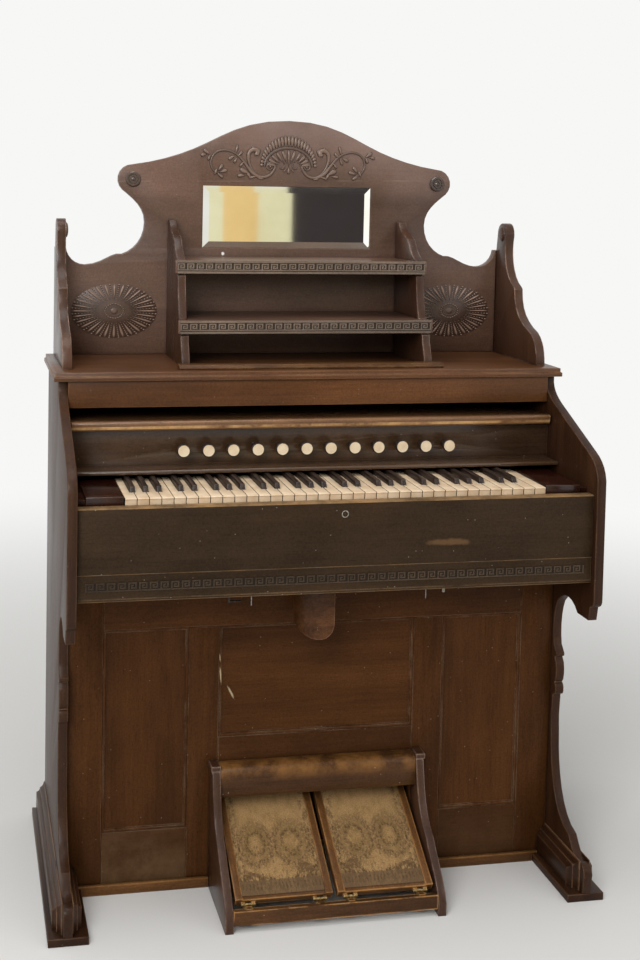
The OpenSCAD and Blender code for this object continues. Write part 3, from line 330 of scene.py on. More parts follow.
def woodMaterial(finish, axis, seed=0, mark=None):
    name = f"{finish}{axis}{seed}" + (mark.__name__ if mark else "")
    if name in madeWoods:
        return madeWoods[name]
    look = {**walnutLook, **woodLooks[finish]}
    material, tree, shader = newMaterial(name)
    place = objectPlace(tree)
    shift = [step * seed + start for step, start in grainLook["shift"]]  # another cut of wood for each seed

    def grain(layer):
        across, length, *settings = grainLayers[layer]
        scale = [length if along else across for along in grainAxes[axis]]
        return noise(mapped(place, scale, shift), *settings)

    figure, streaks, pores, blotch, rubs = (grain(layer) for layer in grainLayers)
    tone = plus(times(figure, grainLook["figure"]), times(streaks, grainLook["streaks"]))
    color = ramp(tone, *look["figure"], look["dark"], look["light"])
    poreMask = ramp(pores, *grainLook["pores"])
    color = mixColors(times(poreMask, grainLook["poreShare"]), color, look["dark"])
    color = mixColors(1.0, color, ramp(blotch, *grainLook["blotch"]), "MULTIPLY")
    fine = ramp(noise(place, *grainLook["fine"]), *grainLook["fineTones"])
    color = mixColors(1.0, color, fine, "MULTIPLY")
    color = wornAndLitEdges(tree, color, look, rubs)
    color = dirtAndShadeInCorners(tree, color, look)
    if mark:
        color = mark(place, color)
    color = paintSpecks(tree, place, color, look["specks"])
    height = minus(times(streaks, grainLook["streakHigh"]), times(poreMask, grainLook["poreDeep"]))
    fillInputs(shader, {"Base Color": color, "Roughness": remap(blotch, *grainLook["roughBlotch"], *look["rough"]),
                        "Specular IOR Level": look["shine"], "Coat Weight": look["coat"],
                        "Coat Roughness": grainLook["coatRoughness"], "Normal": bumpFrom(height, *grainLook["bump"])})
    madeWoods[name] = material
    return material


# Marks of age that belong to one board; noises are scale, detail and roughness

marks = {
    "joint": {"height": 1.4503, "slope": 0.018, "width": 0.0009, "soft": (0.3, 1.0), "noise": (14.0, 3.0),
              "broken": (0.45, 0.62), "skin": 0.004, "color": (0.24, 0.17, 0.13, 1)},
    "bloom": {"from": 1.40, "to": 1.58, "share": 0.65, "noise": (5.0, 5.0), "broken": (0.3, 0.7),
              "color": (0.30, 0.215, 0.190, 1)},
    "drops": {"places": [((-0.148, 0.0, 1.2845), (0.0046, 1.0, 0.0048)),
                         ((0.141, 0.0, 1.145), (0.003, 1.0, 0.003))],
              "ragged": 0.1, "scale": 200.0, "color": (0.78, 0.77, 0.74, 1)},
    "slipWearAndHighlights": {"places": [(0.8322, 0.8360, 0.9), (0.7072, 0.7090, 0.45), (0.6560, 0.6580, 0.4)],
                  "noise": (16.0, 7.0, 0.7), "broken": (0.38, 0.62), "least": 0.25, "color": (0.34, 0.20, 0.09, 1)},
    "patch": {"middle": (0.217, 0.0, 0.749), "half": (0.056, 1.0, 0.0075), "color": (0.115, 0.062, 0.028, 1)},
    "scratches": {"places": [((-0.2035, 0.0, 0.439), (0.0022, 1.0, 0.022), -0.10),
                             ((-0.181, 0.0, 0.402), (0.0026, 1.0, 0.017), -0.48),
                             ((-0.206, 0.0, 0.478), (0.0014, 1.0, 0.010), -0.10)],
                  "ragged": 0.25, "scale": 400.0, "share": 0.85, "color": (0.46, 0.36, 0.22, 1)},
    "lidGold": {"from": 0.0042, "to": 0.0100, "skin": 0.004, "noise": (11.0, 7.0, 0.7), "broken": (0.36, 0.60),
                "share": 0.8, "color": (0.74, 0.44, 0.18, 1)},
    "railGold": {"from": 0.225, "to": 0.250, "noise": (9.0, 6.0, 0.7), "broken": (0.42, 0.62), "share": 0.75,
                 "color": (0.30, 0.135, 0.035, 1)},
    "dusty": {"from": 0.17, "to": 0.06, "right": (0.10, 0.25), "left": (-0.40, 0.85), "noise": (7.0, 6.0, 0.65),
              "broken": (0.36, 0.64), "color": (0.150, 0.085, 0.042, 1)}}


ovalLook = {"ragged": 0.35, "scale": 40.0, "detail": 6.0, "gain": 4, "soft": (0.55, 1.0)}


def ovalMask(place, middle, half, turn=0.0, ragged=ovalLook["ragged"], scale=ovalLook["scale"]):
    unit = mapped(place, half, middle, (0, turn, 0), vector_type="TEXTURE")
    rough = minus(noise(place, scale, ovalLook["detail"]), 0.5)
    return ramp(plus(lengthOf(unit), times(rough, ragged * ovalLook["gain"])), *ovalLook["soft"], white, black)


def crestJoint(place, color):
    joint, bloom, drops = marks["joint"], marks["bloom"], marks["drops"]
    height = partOf(place, "Z")
    away = apart(minus(height, times(partOf(place, "X"), joint["slope"])), joint["height"])
    near = ramp(maths("DIVIDE", away, joint["width"]), *joint["soft"], white, black)
    front = below(partOf(place, "Y"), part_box("crest_board")[0][1] + joint["skin"])
    faint = ramp(noise(place, *joint["noise"]), *joint["broken"])
    color = mixColors(times(near, front, faint), color, joint["color"])
    # paler towards the top of the crest in noisy clouds: partly dust, partly a painted sheen
    dusty = remap(height, bloom["from"], bloom["to"], 0.0, bloom["share"])
    cloud = ramp(noise(place, *bloom["noise"]), *bloom["broken"])
    color = mixColors(times(dusty, cloud), color, bloom["color"])
    for middle, half in drops["places"]:
        drop = ovalMask(place, middle, half, 0.0, drops["ragged"], drops["scale"])
        color = mixColors(times(drop, front), color, drops["color"])
    return color


def slipPatch(place, color):
    look, patch = marks["slipWearAndHighlights"], marks["patch"]
    height = partOf(place, "Z")
    # pale lines along the slip's top edge and beside the key band: partly worn varnish, partly painted highlights
    broken = ramp(noise(place, *look["noise"]), *look["broken"], gray(look["least"]))
    for low, high, share in look["places"]:
        color = mixColors(times(between(height, low, high), broken, share), color, look["color"])
    return mixColors(ovalMask(place, patch["middle"], patch["half"]), color, patch["color"])


def panelScratch(place, color):
    look = marks["scratches"]
    for middle, half, turn in look["places"]:
        cut = ovalMask(place, middle, half, turn, look["ragged"], look["scale"])
        color = mixColors(times(cut, look["share"]), color, look["color"])
    return color


def dustAndLightOnFoot(place, color):
    # the lowest rail is paler near the floor in noisy patches, more so at the left: partly dust and scuffs, partly
    # painted light falling from the left
    look = marks["dusty"]
    low = remap(partOf(place, "Z"), look["from"], look["to"])
    cloud = ramp(noise(place, *look["noise"]), *look["broken"])
    (right, least), (left, most) = look["right"], look["left"]
    share = times(low, cloud, remap(partOf(place, "X"), right, left, least, most))
    return mixColors(share, color, look["color"])


def lidGold(place, color):
    # a gold line along the nose of the sliding lid: partly varnish worn to gold, partly a painted highlight
    look = marks["lidGold"]
    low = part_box("key_lid")[0]
    front = below(partOf(place, "Y"), low[1] + look["skin"])
    line = between(minus(partOf(place, "Z"), low[2]), look["from"], look["to"])
    broken = ramp(noise(place, *look["noise"]), *look["broken"])
    return mixColors(times(line, front, broken, look["share"]), color, look["color"])


def railGold(place, color):
    # a lighter band along the top of the over rail: partly worn orange patches, partly a painted highlight
    look = marks["railGold"]
    high = remap(partOf(place, "Z"), look["from"], look["to"])
    broken = ramp(noise(place, *look["noise"]), *look["broken"])
    return mixColors(times(high, broken, look["share"]), color, look["color"])


# ground and tops are the colours of the carving's low and high parts, partly wear and dirt, partly painted shade and
# highlight
reliefLook = {"ground": (0.020, 0.011, 0.007, 1), "tops": (0.34, 0.225, 0.165, 1)}


def reliefTones(face, low, high, dark, pale):
    # carved work: the ground is darker, partly polish and dirt and partly painted shade, and the tops are paler,
    # partly rubbed and partly a painted highlight
    def reliefWearAndLight(place, color):
        share = remap(minus(face, partOf(place, "Y")), low, high)
        ground = mixColors(dark, color, reliefLook["ground"])
        return mixColors(share, ground, mixColors(pale, color, reliefLook["tops"]))
    return reliefWearAndLight


boardMarks = {"pedal_over_rail": railGold, "crest_board": crestJoint, "key_slip": slipPatch,
              "front_stiles": panelScratch, "centre_panel": panelScratch, "front_rails": dustAndLightOnFoot,
              "key_lid": lidGold}


# Other finishes: the noise's scale, detail and roughness, then where the tones start and end

coverLook = {"tint": (34.0, 2.0), "tones": (0.35, 0.65, (0.72, 0.53, 0.34, 1), (0.84, 0.66, 0.46, 1)),
             "grime": (160.0, 5.0), "dirty": (0.60, 0.85), "dirtShare": 0.22, "dirt": (0.40, 0.27, 0.15, 1),
             "sideways": 0.6, "sides": (0.020, 0.011, 0.007, 1), "gap": 0.003,
             "gapTones": (0.35, 0.80, gray(0.85), black), "gapColor": (0.060, 0.034, 0.018, 1), "rough": (0.28, 0.5)}
tarnish = {"noise": (220.0, 5.0), "rough": (0.28, 0.62), "metal": 1.0}
plainLooks = {
    "blackStainedWood": {"stretch": (90, 5, 90), "noise": (3.0, 5.0), "rough": (0.22, 0.5),
                         "tones": (0.38, 0.72, (0.010, 0.006, 0.005, 1), (0.058, 0.036, 0.026, 1)),
                         "shine": 0.35, "bump": (0.15, 0.0005)},
    "silveredGlass": {"noise": (9.0, 3.0), "rough": (0.015, 0.05), "metal": 1.0,
                      "tones": (0.35, 0.75, (0.84, 0.84, 0.78, 1), (0.76, 0.74, 0.64, 1))},
    "agedKnobFaces": {"noise": (70.0, 3.0), "rough": (0.25, 0.45),
                      "tones": (0.3, 0.7, (0.74, 0.57, 0.37, 1), (0.86, 0.71, 0.50, 1))},
    "oldBrass": {**tarnish, "tones": (0.35, 0.65, (0.13, 0.085, 0.035, 1), (0.42, 0.31, 0.14, 1))},
    "dullSteel": {**tarnish, "tones": (0.35, 0.65, (0.16, 0.14, 0.11, 1), (0.44, 0.42, 0.37, 1))},
    "darkIron": {**tarnish, "tones": (0.35, 0.65, (0.030, 0.026, 0.024, 1), (0.090, 0.080, 0.072, 1))},
}


def plainMaterial(name):
    look = plainLooks[name]
    material, tree, shader = newMaterial(name)
    place = objectPlace(tree)
    if "stretch" in look:
        place = mapped(place, look["stretch"])
    tint = noise(place, *look["noise"])
    fillInputs(shader, {"Base Color": ramp(tint, *look["tones"]), "Roughness": remap(tint, 0.0, 1.0, *look["rough"]),
                        "Metallic": look.get("metal", 0.0)})
    if "shine" in look:
        fillInputs(shader, {"Specular IOR Level": look["shine"], "Normal": bumpFrom(tint, *look["bump"])})
    return material


def keyCoverMaterial():
    # aged covers with dirt, dark wood at the keys' sides, and darkening in the gaps that is partly dirt and partly
    # painted shade
    look = coverLook
    material, tree, shader = newMaterial("agedKeyCovers")
    place = objectPlace(tree)
    grime = noise(place, *look["grime"])
    color = ramp(noise(place, *look["tint"]), *look["tones"])
    color = mixColors(times(ramp(grime, *look["dirty"]), look["dirtShare"]), color, look["dirt"])
    flat = addNode(tree, "NewGeometry").outputs["True Normal"]
    across = maths("ABSOLUTE", partOf(flat, "X"))
    color = mixColors(above(across, look["sideways"]), color, look["sides"])
    # the gaps between keys are darkened by ambient occlusion: partly dirt, partly painted shade
    color = mixColors(ramp(cornerLight(tree, look["gap"]), *look["gapTones"]), color, look["gapColor"])
    fillInputs(shader, {"Base Color": color, "Roughness": remap(grime, 0.0, 1.0, *look["rough"])})
    return material


# places run from 0 to 1 across and up the carpet; rings are middle and radii, flowers the same
carpetWeave = {
    "rings": [((0.27, 0.40, 0), (0.19, 0.165, 1)), ((0.27, 0.40, 0), (0.11, 0.09, 1)),
              ((0.72, 0.40, 0), (0.21, 0.175, 1)), ((0.72, 0.40, 0), (0.12, 0.10, 1))],
    "flowers": [((0.82, 0.175, 0), (0.12, 0.055, 1)), ((0.15, 0.15, 0), (0.12, 0.035, 1))],
    "bend": (17.0, 5.0, 0.65), "bendShare": 0.13,
    "ringTones": (0.10, 0.34, gray(0.85), black), "insideTones": (0.70, 1.0, gray(0.6), black),
    "flowerTones": (0.75, 1.10, gray(0.9), black), "flowerShare": 0.9,
    "clumps": (15.0, 5.0, 0.65), "clumpTones": (0.43, 0.52), "sides": (0.36, 0.43), "sideShare": 0.8,
    "worn": (40.0, 6.0, 0.75), "wornTones": (0.38, 0.58), "flowerWorn": (0.30, 0.50),
    "lower": (0.48, 0.70, white, gray(0.12)),
    "leafStretch": (34, 12, 1), "leaf": (1.0, 4.0, 0.6), "leafNeeded": (0.10, 0.27, 0.47, 0.84),
    "corner": (0.16, 0.42, 0.0, 0.10), "sprig": (0.0, 0.05),
    "loose": (26.0, 8.0, 0.8), "looseTones": (0.52, 0.64), "looseShare": 0.8,
    "threadStretch": (62, 100, 1), "threads": (1.3, 4.0, 0.7), "threadTones": (0.32, 0.68),
    "patches": (9.0, 6.0, 0.7), "patchTones": (0.46, 0.70), "patchShare": 0.5, "insideMoss": (0.34, 0.60),
    "darkShare": 0.92, "band": (0.105, 0.112, white, black), "bandShare": 0.8,
    "teeth": (0.035, 0.085), "toothScale": 7.0, "toothFrom": 0.55, "toothShare": 0.7,
    "plain": (0.255, 0.140, 0.048, 1), "pale": (0.530, 0.330, 0.145, 1), "brown": (0.055, 0.027, 0.010, 1),
    "moss": (0.150, 0.088, 0.020, 1), "bandColor": (0.150, 0.088, 0.042, 1),
    "rough": 0.95, "shine": 0.1, "sheen": 0.25, "pileDeep": 0.4, "bump": (0.6, 0.0012)}


def carpetMaterial(name, flipped):
    look = carpetWeave
    material, tree, shader = newMaterial(name)
    spot = addNode(tree, "UVMap", uv_map="UVMap").outputs["UV"]
    if flipped:
        spot = mapped(spot, (-1, 1, 1), (1, 0, 0))
    bend = vectorMaths("SUBTRACT", noise(spot, *look["bend"], output="Color"), (0.5, 0.5, 0.5))
    bend = addNode(tree, "VectorMath", {0: bend, "Scale": look["bendShare"]}, operation="SCALE").outputs[0]
    bent = vectorMaths("ADD", spot, bend)

    def reach(middle, radii):
        return lengthOf(vectorMaths("DIVIDE", vectorMaths("SUBTRACT", bent, middle), radii))

    across, up = partOf(spot, "X"), partOf(spot, "Y")
    fromMiddle = apart(across, 0.5)
    ringReach = [reach(*ring) for ring in look["rings"]]
    rings = largest(*(ramp(apart(r, 1.0), *look["ringTones"]) for r in ringReach))
    inside = largest(*(ramp(r, *look["insideTones"]) for r in ringReach))
    blooms = largest(*(ramp(reach(*flower), *look["flowerTones"]) for flower in look["flowers"]))
    side = times(ramp(fromMiddle, *look["sides"]), ramp(noise(spot, *look["clumps"]), *look["clumpTones"]))
    worn = noise(spot, *look["worn"])
    speckled = ramp(worn, *look["wornTones"])
    lower = largest(ramp(up, *look["lower"]), times(side, look["sideShare"]))
    figure = times(largest(rings, side), speckled, lower)

    leafy = noise(mapped(bent, look["leafStretch"]), *look["leaf"])
    sprigs = minus(plus(leafy, remap(fromMiddle, *look["corner"])), remap(up, *look["leafNeeded"]))
    blooms = times(largest(blooms, ramp(sprigs, *look["sprig"])), ramp(worn, *look["flowerWorn"]))
    figure = largest(figure, times(blooms, look["flowerShare"]))
    crumbs = times(ramp(noise(spot, *look["loose"]), *look["looseTones"]), look["looseShare"])
    dark = largest(figure, times(crumbs, lower))

    threads = noise(mapped(spot, look["threadStretch"]), *look["threads"])
    color = ramp(threads, *look["threadTones"], look["plain"], look["pale"])
    patches = noise(bent, *look["patches"])
    mossy = largest(times(ramp(patches, *look["patchTones"]), look["patchShare"]),
                    times(inside, ramp(patches, *look["insideMoss"])))
    color = mixColors(mossy, color, look["moss"])
    color = mixColors(times(dark, look["darkShare"]), color, look["brown"])

    # a plain band with a row of teeth across the lower end
    teeth = addNode(tree, "TexWave", {"Vector": spot, "Scale": look["toothScale"], "Distortion": 0.0},
                    wave_type="BANDS", bands_direction="X").outputs["Fac"]
    tooth = times(above(teeth, look["toothFrom"]), between(up, *look["teeth"]), speckled, look["toothShare"])
    bandColor = mixColors(tooth, look["bandColor"], look["brown"])
    color = mixColors(times(ramp(up, *look["band"]), look["bandShare"]), color, bandColor)
    pile = minus(threads, times(dark, look["pileDeep"]))
    fillInputs(shader, {"Base Color": color, "Roughness": look["rough"], "Specular IOR Level": look["shine"],
                        "Sheen Weight": look["sheen"], "Normal": bumpFrom(pile, *look["bump"])})
    return material


keyCovers = keyCoverMaterial()
blackWood, silveredGlass, knobIvory, brass, steel, darkIron = (plainMaterial(name) for name in plainLooks)
print("finishes made")


# The case boards: each CAD node gets its finish; all but the plain ones are copied, their edges eased, and the copy
# stands for the node

boardLooks = {
    "left_side": ("walnut", "Z", 1), "right_side": ("walnut", "Z", 2),
    "left_foot_plate": ("walnut", "Y", 3), "right_foot_plate": ("walnut", "Y", 4),
    "left_foot_block": ("walnut", "Y", 5), "right_foot_block": ("walnut", "Y", 6),
    "front_stiles": ("panelWalnut", "Z", 1), "front_rails": ("panelWalnut", "X", 2),
    "left_panel": ("panelWalnut", "Z", 3), "centre_panel": ("panelWalnut", "X", 4),
    "right_panel": ("panelWalnut", "Z", 5), "base_strip": ("wornWalnut", "X", 1),
    "key_slip": ("slipWalnut", "X", 1), "key_bed": ("innerWood", "X", 1), "reed_chest": ("innerWood", "X", 2),
    "left_key_block": ("blockWalnut", "Y", 1), "right_key_block": ("blockWalnut", "Y", 2),
    "key_ledge": ("stopWalnut", "X", 3), "stop_board": ("stopWalnut", "X", 1),
    "key_lid": ("lidWalnut", "X", 2), "fascia": ("fasciaWalnut", "X", 1),
    "top_board": ("topWalnut", "X", 2), "back_board": ("innerWood", "X", 3),
    "crest_board": ("crestWalnut", "X", 1), "left_end_bracket": ("bracketWalnut", "Z", 2),
    "right_end_bracket": ("bracketWalnut", "Z", 3), "left_shelf_bracket": ("bracketWalnut", "Z", 4),
    "right_shelf_bracket": ("bracketWalnut", "Z", 5), "upper_shelf": ("crestWalnut", "X", 6),
    "lower_shelf": ("crestWalnut", "X", 7), "music_ledge": ("railWalnut", "X", 3),
    "left_pedal_cheek": ("bracketWalnut", "Z", 7), "right_pedal_cheek": ("bracketWalnut", "Z", 8),
    "pedal_over_rail": ("railWalnut", "X", 4), "pedal_front_rail": ("railWalnut", "X", 5),
    "pedal_well": ("innerWood", "X", 4), "left_pedal": ("wornWalnut", "Y", 6),
    "right_pedal": ("wornWalnut", "Y", 7), "knee_lever": ("leverWalnut", "X", 8),
    "rosettes": ("turnedWalnut", "X", 8),
}
plainNodes = ["key_bed", "reed_chest", "back_board", "pedal_well", "pedal_front_rail", "rosettes"]
easedEdges = {"boards": 0.0014, "keys": 0.0008, "segments": 2, "sharp": 32, "smooth": 35,
              "weld": 0.00002, "flat": 0.5}
stopNumbers = range(1, 13)


def setMaterial(piece, material):
    piece.data.materials.clear()
    piece.data.materials.append(material)


def pickOnly(piece):
    bpy.ops.object.select_all(action="DESELECT")
    piece.select_set(True)
    bpy.context.view_layer.objects.active = piece


def smoothShape(piece, angle=80):
    pickOnly(piece)
    bpy.ops.object.shade_smooth_by_angle(angle=math.radians(angle))


def camel(node):
    words = node.split("_")
    return words[0] + "".join(w.capitalize() for w in words[1:])


def copyOfNode(node, name):
    pickOnly(frame["nodes"][node])
    bpy.ops.object.duplicate()
    piece = bpy.context.object
    piece.name = piece.data.name = name
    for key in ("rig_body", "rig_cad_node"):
        del piece[key]
    piece.parent = None
    bpy.ops.object.mode_set(mode="EDIT")
    bpy.ops.mesh.select_all(action="SELECT")
    bpy.ops.mesh.remove_doubles(threshold=easedEdges["weld"])
    bpy.ops.mesh.dissolve_limited(angle_limit=math.radians(easedEdges["flat"]))
    bpy.ops.object.mode_set(mode="OBJECT")
    return piece


def applyModifier(piece, name, kind, **settings):
    setAll(piece.modifiers.new(name, kind), settings)
    pickOnly(piece)
    bpy.ops.object.modifier_apply(modifier=name)


def easeEdges(piece, width):
    applyModifier(piece, "easedEdges", "BEVEL", width=width, segments=easedEdges["segments"],
                  limit_method="ANGLE", angle_limit=math.radians(easedEdges["sharp"]), use_clamp_overlap=True)
    smoothShape(piece, easedEdges["smooth"])


def finishPiece(piece, material, body, slot, *nodes):
    setMaterial(piece, material)
    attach(piece, body)
    if nodes:
        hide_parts(*nodes)


def dressNode(node, material, width):
    piece = copyOfNode(node, camel(node))
    easeEdges(piece, width)
    finishPiece(piece, material, bodyOfNode[node], slotOfNode[node], node)


for node, (finish, axis, seed) in boardLooks.items():
    wood = woodMaterial(finish, axis, seed, boardMarks.get(node))
    if node in plainNodes:
        setMaterial(frame["nodes"][node], wood)
    else:
        dressNode(node, wood, easedEdges["boards"])
dressNode("natural_keys", keyCovers, easedEdges["keys"])
dressNode("sharp_keys", blackWood, easedEdges["keys"])
for number in stopNumbers:
    setMaterial(frame["nodes"][f"stop_{number}"], blackWood)
setMaterial(frame["nodes"]["mirror"], silveredGlass)
print("boards dressed")


# Helpers for carved and turned work

facingFront = (math.pi / 2, 0, 0)


def addShape(primitive, name, **settings):
    bpy.ops.object.select_all(action="DESELECT")
    primitive(**settings)
    piece = bpy.context.object
    piece.name = piece.data.name = name
    return piece


def applyPlace(piece):
    pickOnly(piece)
    bpy.ops.object.transform_apply(location=True, rotation=True, scale=True)


def joinAll(name, parts):
    bpy.ops.object.select_all(action="DESELECT")
    for part in parts:
        part.select_set(True)
    bpy.context.view_layer.objects.active = parts[0]
    if len(parts) > 1:
        bpy.ops.object.join()
    piece = bpy.context.object
    piece.name = piece.data.name = name
    applyPlace(piece)
    return piece


def removeShapes(*pieces):
    for piece in pieces:
        pickOnly(piece)
        bpy.ops.object.delete()


def selectFaces(piece, wanted):
    pickOnly(piece)
    bpy.ops.object.mode_set(mode="EDIT")
    bpy.ops.mesh.select_mode(type="FACE")
    bpy.ops.mesh.select_all(action="DESELECT")
    bpy.ops.object.mode_set(mode="OBJECT")
    for face in piece.data.polygons:
        face.select = bool(wanted(face))
    bpy.ops.object.mode_set(mode="EDIT")


def raiseFaces(piece, height, wanted=lambda face: True):
    selectFaces(piece, wanted)
    bpy.ops.mesh.extrude_region_move(TRANSFORM_OT_translate={"value": (0, -height, 0)})
    bpy.ops.object.mode_set(mode="OBJECT")


def petalShape(taper, segments=12, rings=8):
    # a carved lobe one unit long and wide, lying along Z, narrower at its lower end
    petal = addShape(bpy.ops.mesh.primitive_uv_sphere_add, "petal", segments=segments, ring_count=rings, radius=0.5)
    for vertex in petal.data.vertices:
        vertex.co.x *= 1 - taper * (0.5 - vertex.co.z)
    smoothShape(petal)
    return petal


def addPetal(shape, middle, length, width, height, turn=0.0, face=0.0):
    # middle is (x, z); turn is clockwise from straight up, seen from the front
    petal = shape.copy()
    petal.data = shape.data.copy()
    bpy.context.collection.objects.link(petal)
    petal.matrix_world = (Matrix.Translation((middle[0], face, middle[1])) @ Matrix.Rotation(turn, 4, "Y")
                          @ Matrix.Diagonal((width, height * 2, length, 1)))
    return petal


stemLook = {"steps": 6, "round": 2, "weld": 0.000005, "smooth": 60}


def carvedStem(name, knots, face, flat):
    # a tapering stem through knots of (x, z, half width), rounded and flattened onto the board
    data = addShape(bpy.ops.curve.primitive_bezier_curve_add, name, location=(0, 0, 0)).data
    data.dimensions, data.resolution_u, data.bevel_resolution = "3D", stemLook["steps"], stemLook["round"]
    data.bevel_depth, data.use_fill_caps = 1.0, True
    points = data.splines[0].bezier_points
    points.add(len(knots) - 2)
    for point, (x, z, half) in zip(points, knots):
        point.co, point.radius = (x, 0, z), half
        point.handle_left_type = point.handle_right_type = "AUTO"
    bpy.ops.object.convert(target="MESH")
    stem = bpy.context.object
    stem.matrix_world = Matrix.Translation((0, face, 0)) @ Matrix.Diagonal((1, flat, 1, 1))
    applyPlace(stem)
    bpy.ops.object.mode_set(mode="EDIT")
    bpy.ops.mesh.select_all(action="SELECT")
    bpy.ops.mesh.remove_doubles(threshold=stemLook["weld"])
    bpy.ops.mesh.normals_make_consistent(inside=False)
    bpy.ops.object.mode_set(mode="OBJECT")
    smoothShape(stem, stemLook["smooth"])
    return stem


# The shell on the crest, with a scrolling stem to each side

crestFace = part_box("crest_board")[0][1]
shellLook = {"middle": 1.482, "wide": 0.067, "high": 0.072, "rise": 0.0038, "flat": 0.85,
             "rays": 25, "rayWidth": 0.0106, "rayTaper": 0.35, "rayGap": 0.002,
             "band": (0.0555, 0.0425, 0.0036), "bandFlat": 0.6, "bandEnds": 0.7, "bandSteps": 16,
             "fingers": 11, "fingerIn": (0.026, 0.012), "fingerOut": (0.052, 0.039), "fingerWidth": 0.0118,
             "volute": (0.0425, -0.0005, 0.0112, 0.0034), "voluteStart": 215, "voluteTurns": 1.45,
             "voluteShrink": (0.80, 0.45), "voluteSteps": 16, "bead": (0.006, 0.006, 0.004), "leafTaper": 0.8,
             "wood": ("carvedWalnut", "X", 11), "tones": (0.0006, 0.0036, 0.65, 0.42)}
stemLines = [  # control points as shares of the shell's half width and height
    [(0.50, -0.10), (0.66, -0.38), (1.00, -0.40), (1.25, -0.20)],
    [(1.25, -0.20), (1.46, 0.00), (1.58, 0.25), (1.82, 0.38)],
    [(1.82, 0.38), (2.10, 0.56), (2.63, 0.53), (2.67, 0.14)],
    [(2.67, 0.14), (2.70, -0.06), (2.56, -0.22), (2.33, -0.26)]]
stemHalves = (0.0034, 0.0044, 0.0030, 0.0026, 0.0022)
leafLines = [[(0.96, -0.33), (1.34, -0.17), (1.46, 0.25), (1.36, 0.44)],
             [(1.36, 0.44), (1.25, 0.58), (0.99, 0.53), (1.12, 0.36)]]
leafHalves = (0.0020, 0.0050, 0.0064)
hollowLine = [(-0.034, 0.004, 0.0012), (-0.031, 0.012, 0.0016), (-0.023, 0.0165, 0.0017),
              (-0.014, 0.0125, 0.0016), (-0.0095, 0.004, 0.0018), (-0.0125, -0.0035, 0.0024),
              (-0.0185, -0.003, 0.0022), (-0.0185, 0.0015, 0.0014)]
millimetres = 1000
leafPetals = [  # middle x and z in millimetres from the shell's middle, length, width, turn in degrees
    (73, 31, 21, 17, -35), (82, 38, 15, 12, 15), (101, -12, 27, 18, 62), (109, -21, 19, 12, 95),
    (91, -21, 18, 12, 30), (121, 37, 25, 11, -14), (113, 27, 19, 11, -42), (132, 19, 19, 13, 120),
    (123, 13, 16, 11, 150), (108, 5, 18, 10, 140), (188, 30, 22, 14, 52), (196, 24, 15, 12, 100),
    (183, 19, 17, 11, 160), (157, -4, 20, 13, -35), (150, -12, 20, 13, -72), (157, -22, 18, 12, -125),
    (168, -14, 16, 10, -20), (82, -24, 22, 9, 105), (64, -27, 16, 8, 80), (7, 19, 26, 6, 12), (9, -8, 10, 6, 140)]
middlePetals = [(0, 16, 32, 8.5, 0), (0, -8, 17, 11, 180)]


def cubicPoint(line, share):
    rest = 1 - share
    weights = (rest ** 3, 3 * rest ** 2 * share, 3 * rest * share ** 2, share ** 3)
    return tuple(sum(w * point[i] for w, point in zip(weights, line)) for i in (0, 1))


def knotsAlong(lines, halves, side, steps=4):
    look, knots = shellLook, []
    for i, line in enumerate(lines):
        for step in range(steps + (i == len(lines) - 1)):
            share = step / steps
            x, z = cubicPoint(line, share)
            half = halves[i] * (1 - share) + halves[i + 1] * share
            knots.append((side * x * look["wide"], look["middle"] + z * look["high"], half))
    return knots


def ringPoint(wide, high, angle):
    return wide * math.cos(angle), shellLook["middle"] + high * math.sin(angle)


def shellFan(petal, count, inner, outer, width):
    parts = []
    for i in range(count):
        angle = math.pi * (i + 0.5) / count
        low, high = ringPoint(*inner, angle), ringPoint(*outer, angle)
        across, up = high[0] - low[0], high[1] - low[1]
        middle = ((low[0] + high[0]) / 2, (low[1] + high[1]) / 2)
        parts.append(addPetal(petal, middle, math.hypot(across, up), width, shellLook["rise"],
                              math.atan2(across, up), crestFace))
    return parts


def bandKnots():
    wide, high, half = shellLook["band"]
    steps = shellLook["bandSteps"]
    return [(*ringPoint(wide, high, math.pi * i / steps), half * (shellLook["bandEnds"] if i in (0, steps) else 1))
            for i in range(steps + 1)]


def voluteKnots(side):
    look, knots = shellLook, []
    away, up, size, half = look["volute"]
    inward, thinner = look["voluteShrink"]
    for i in range(look["voluteSteps"] + 1):
        share = i / look["voluteSteps"]
        angle = math.radians(look["voluteStart"]) - share * look["voluteTurns"] * 2 * math.pi
        radius = size * (1 - inward * share)
        knots.append((side * (away + radius * math.cos(angle)), look["middle"] + up + radius * math.sin(angle),
                      half * (1 - thinner * share)))
    return knots


def shellLobe(lobe, side, x, z, length, width, turn):
    middle = (side * x / millimetres, shellLook["middle"] + z / millimetres)
    return addPetal(lobe, middle, length / millimetres, width / millimetres, shellLook["rise"],
                    side * math.radians(turn), crestFace)


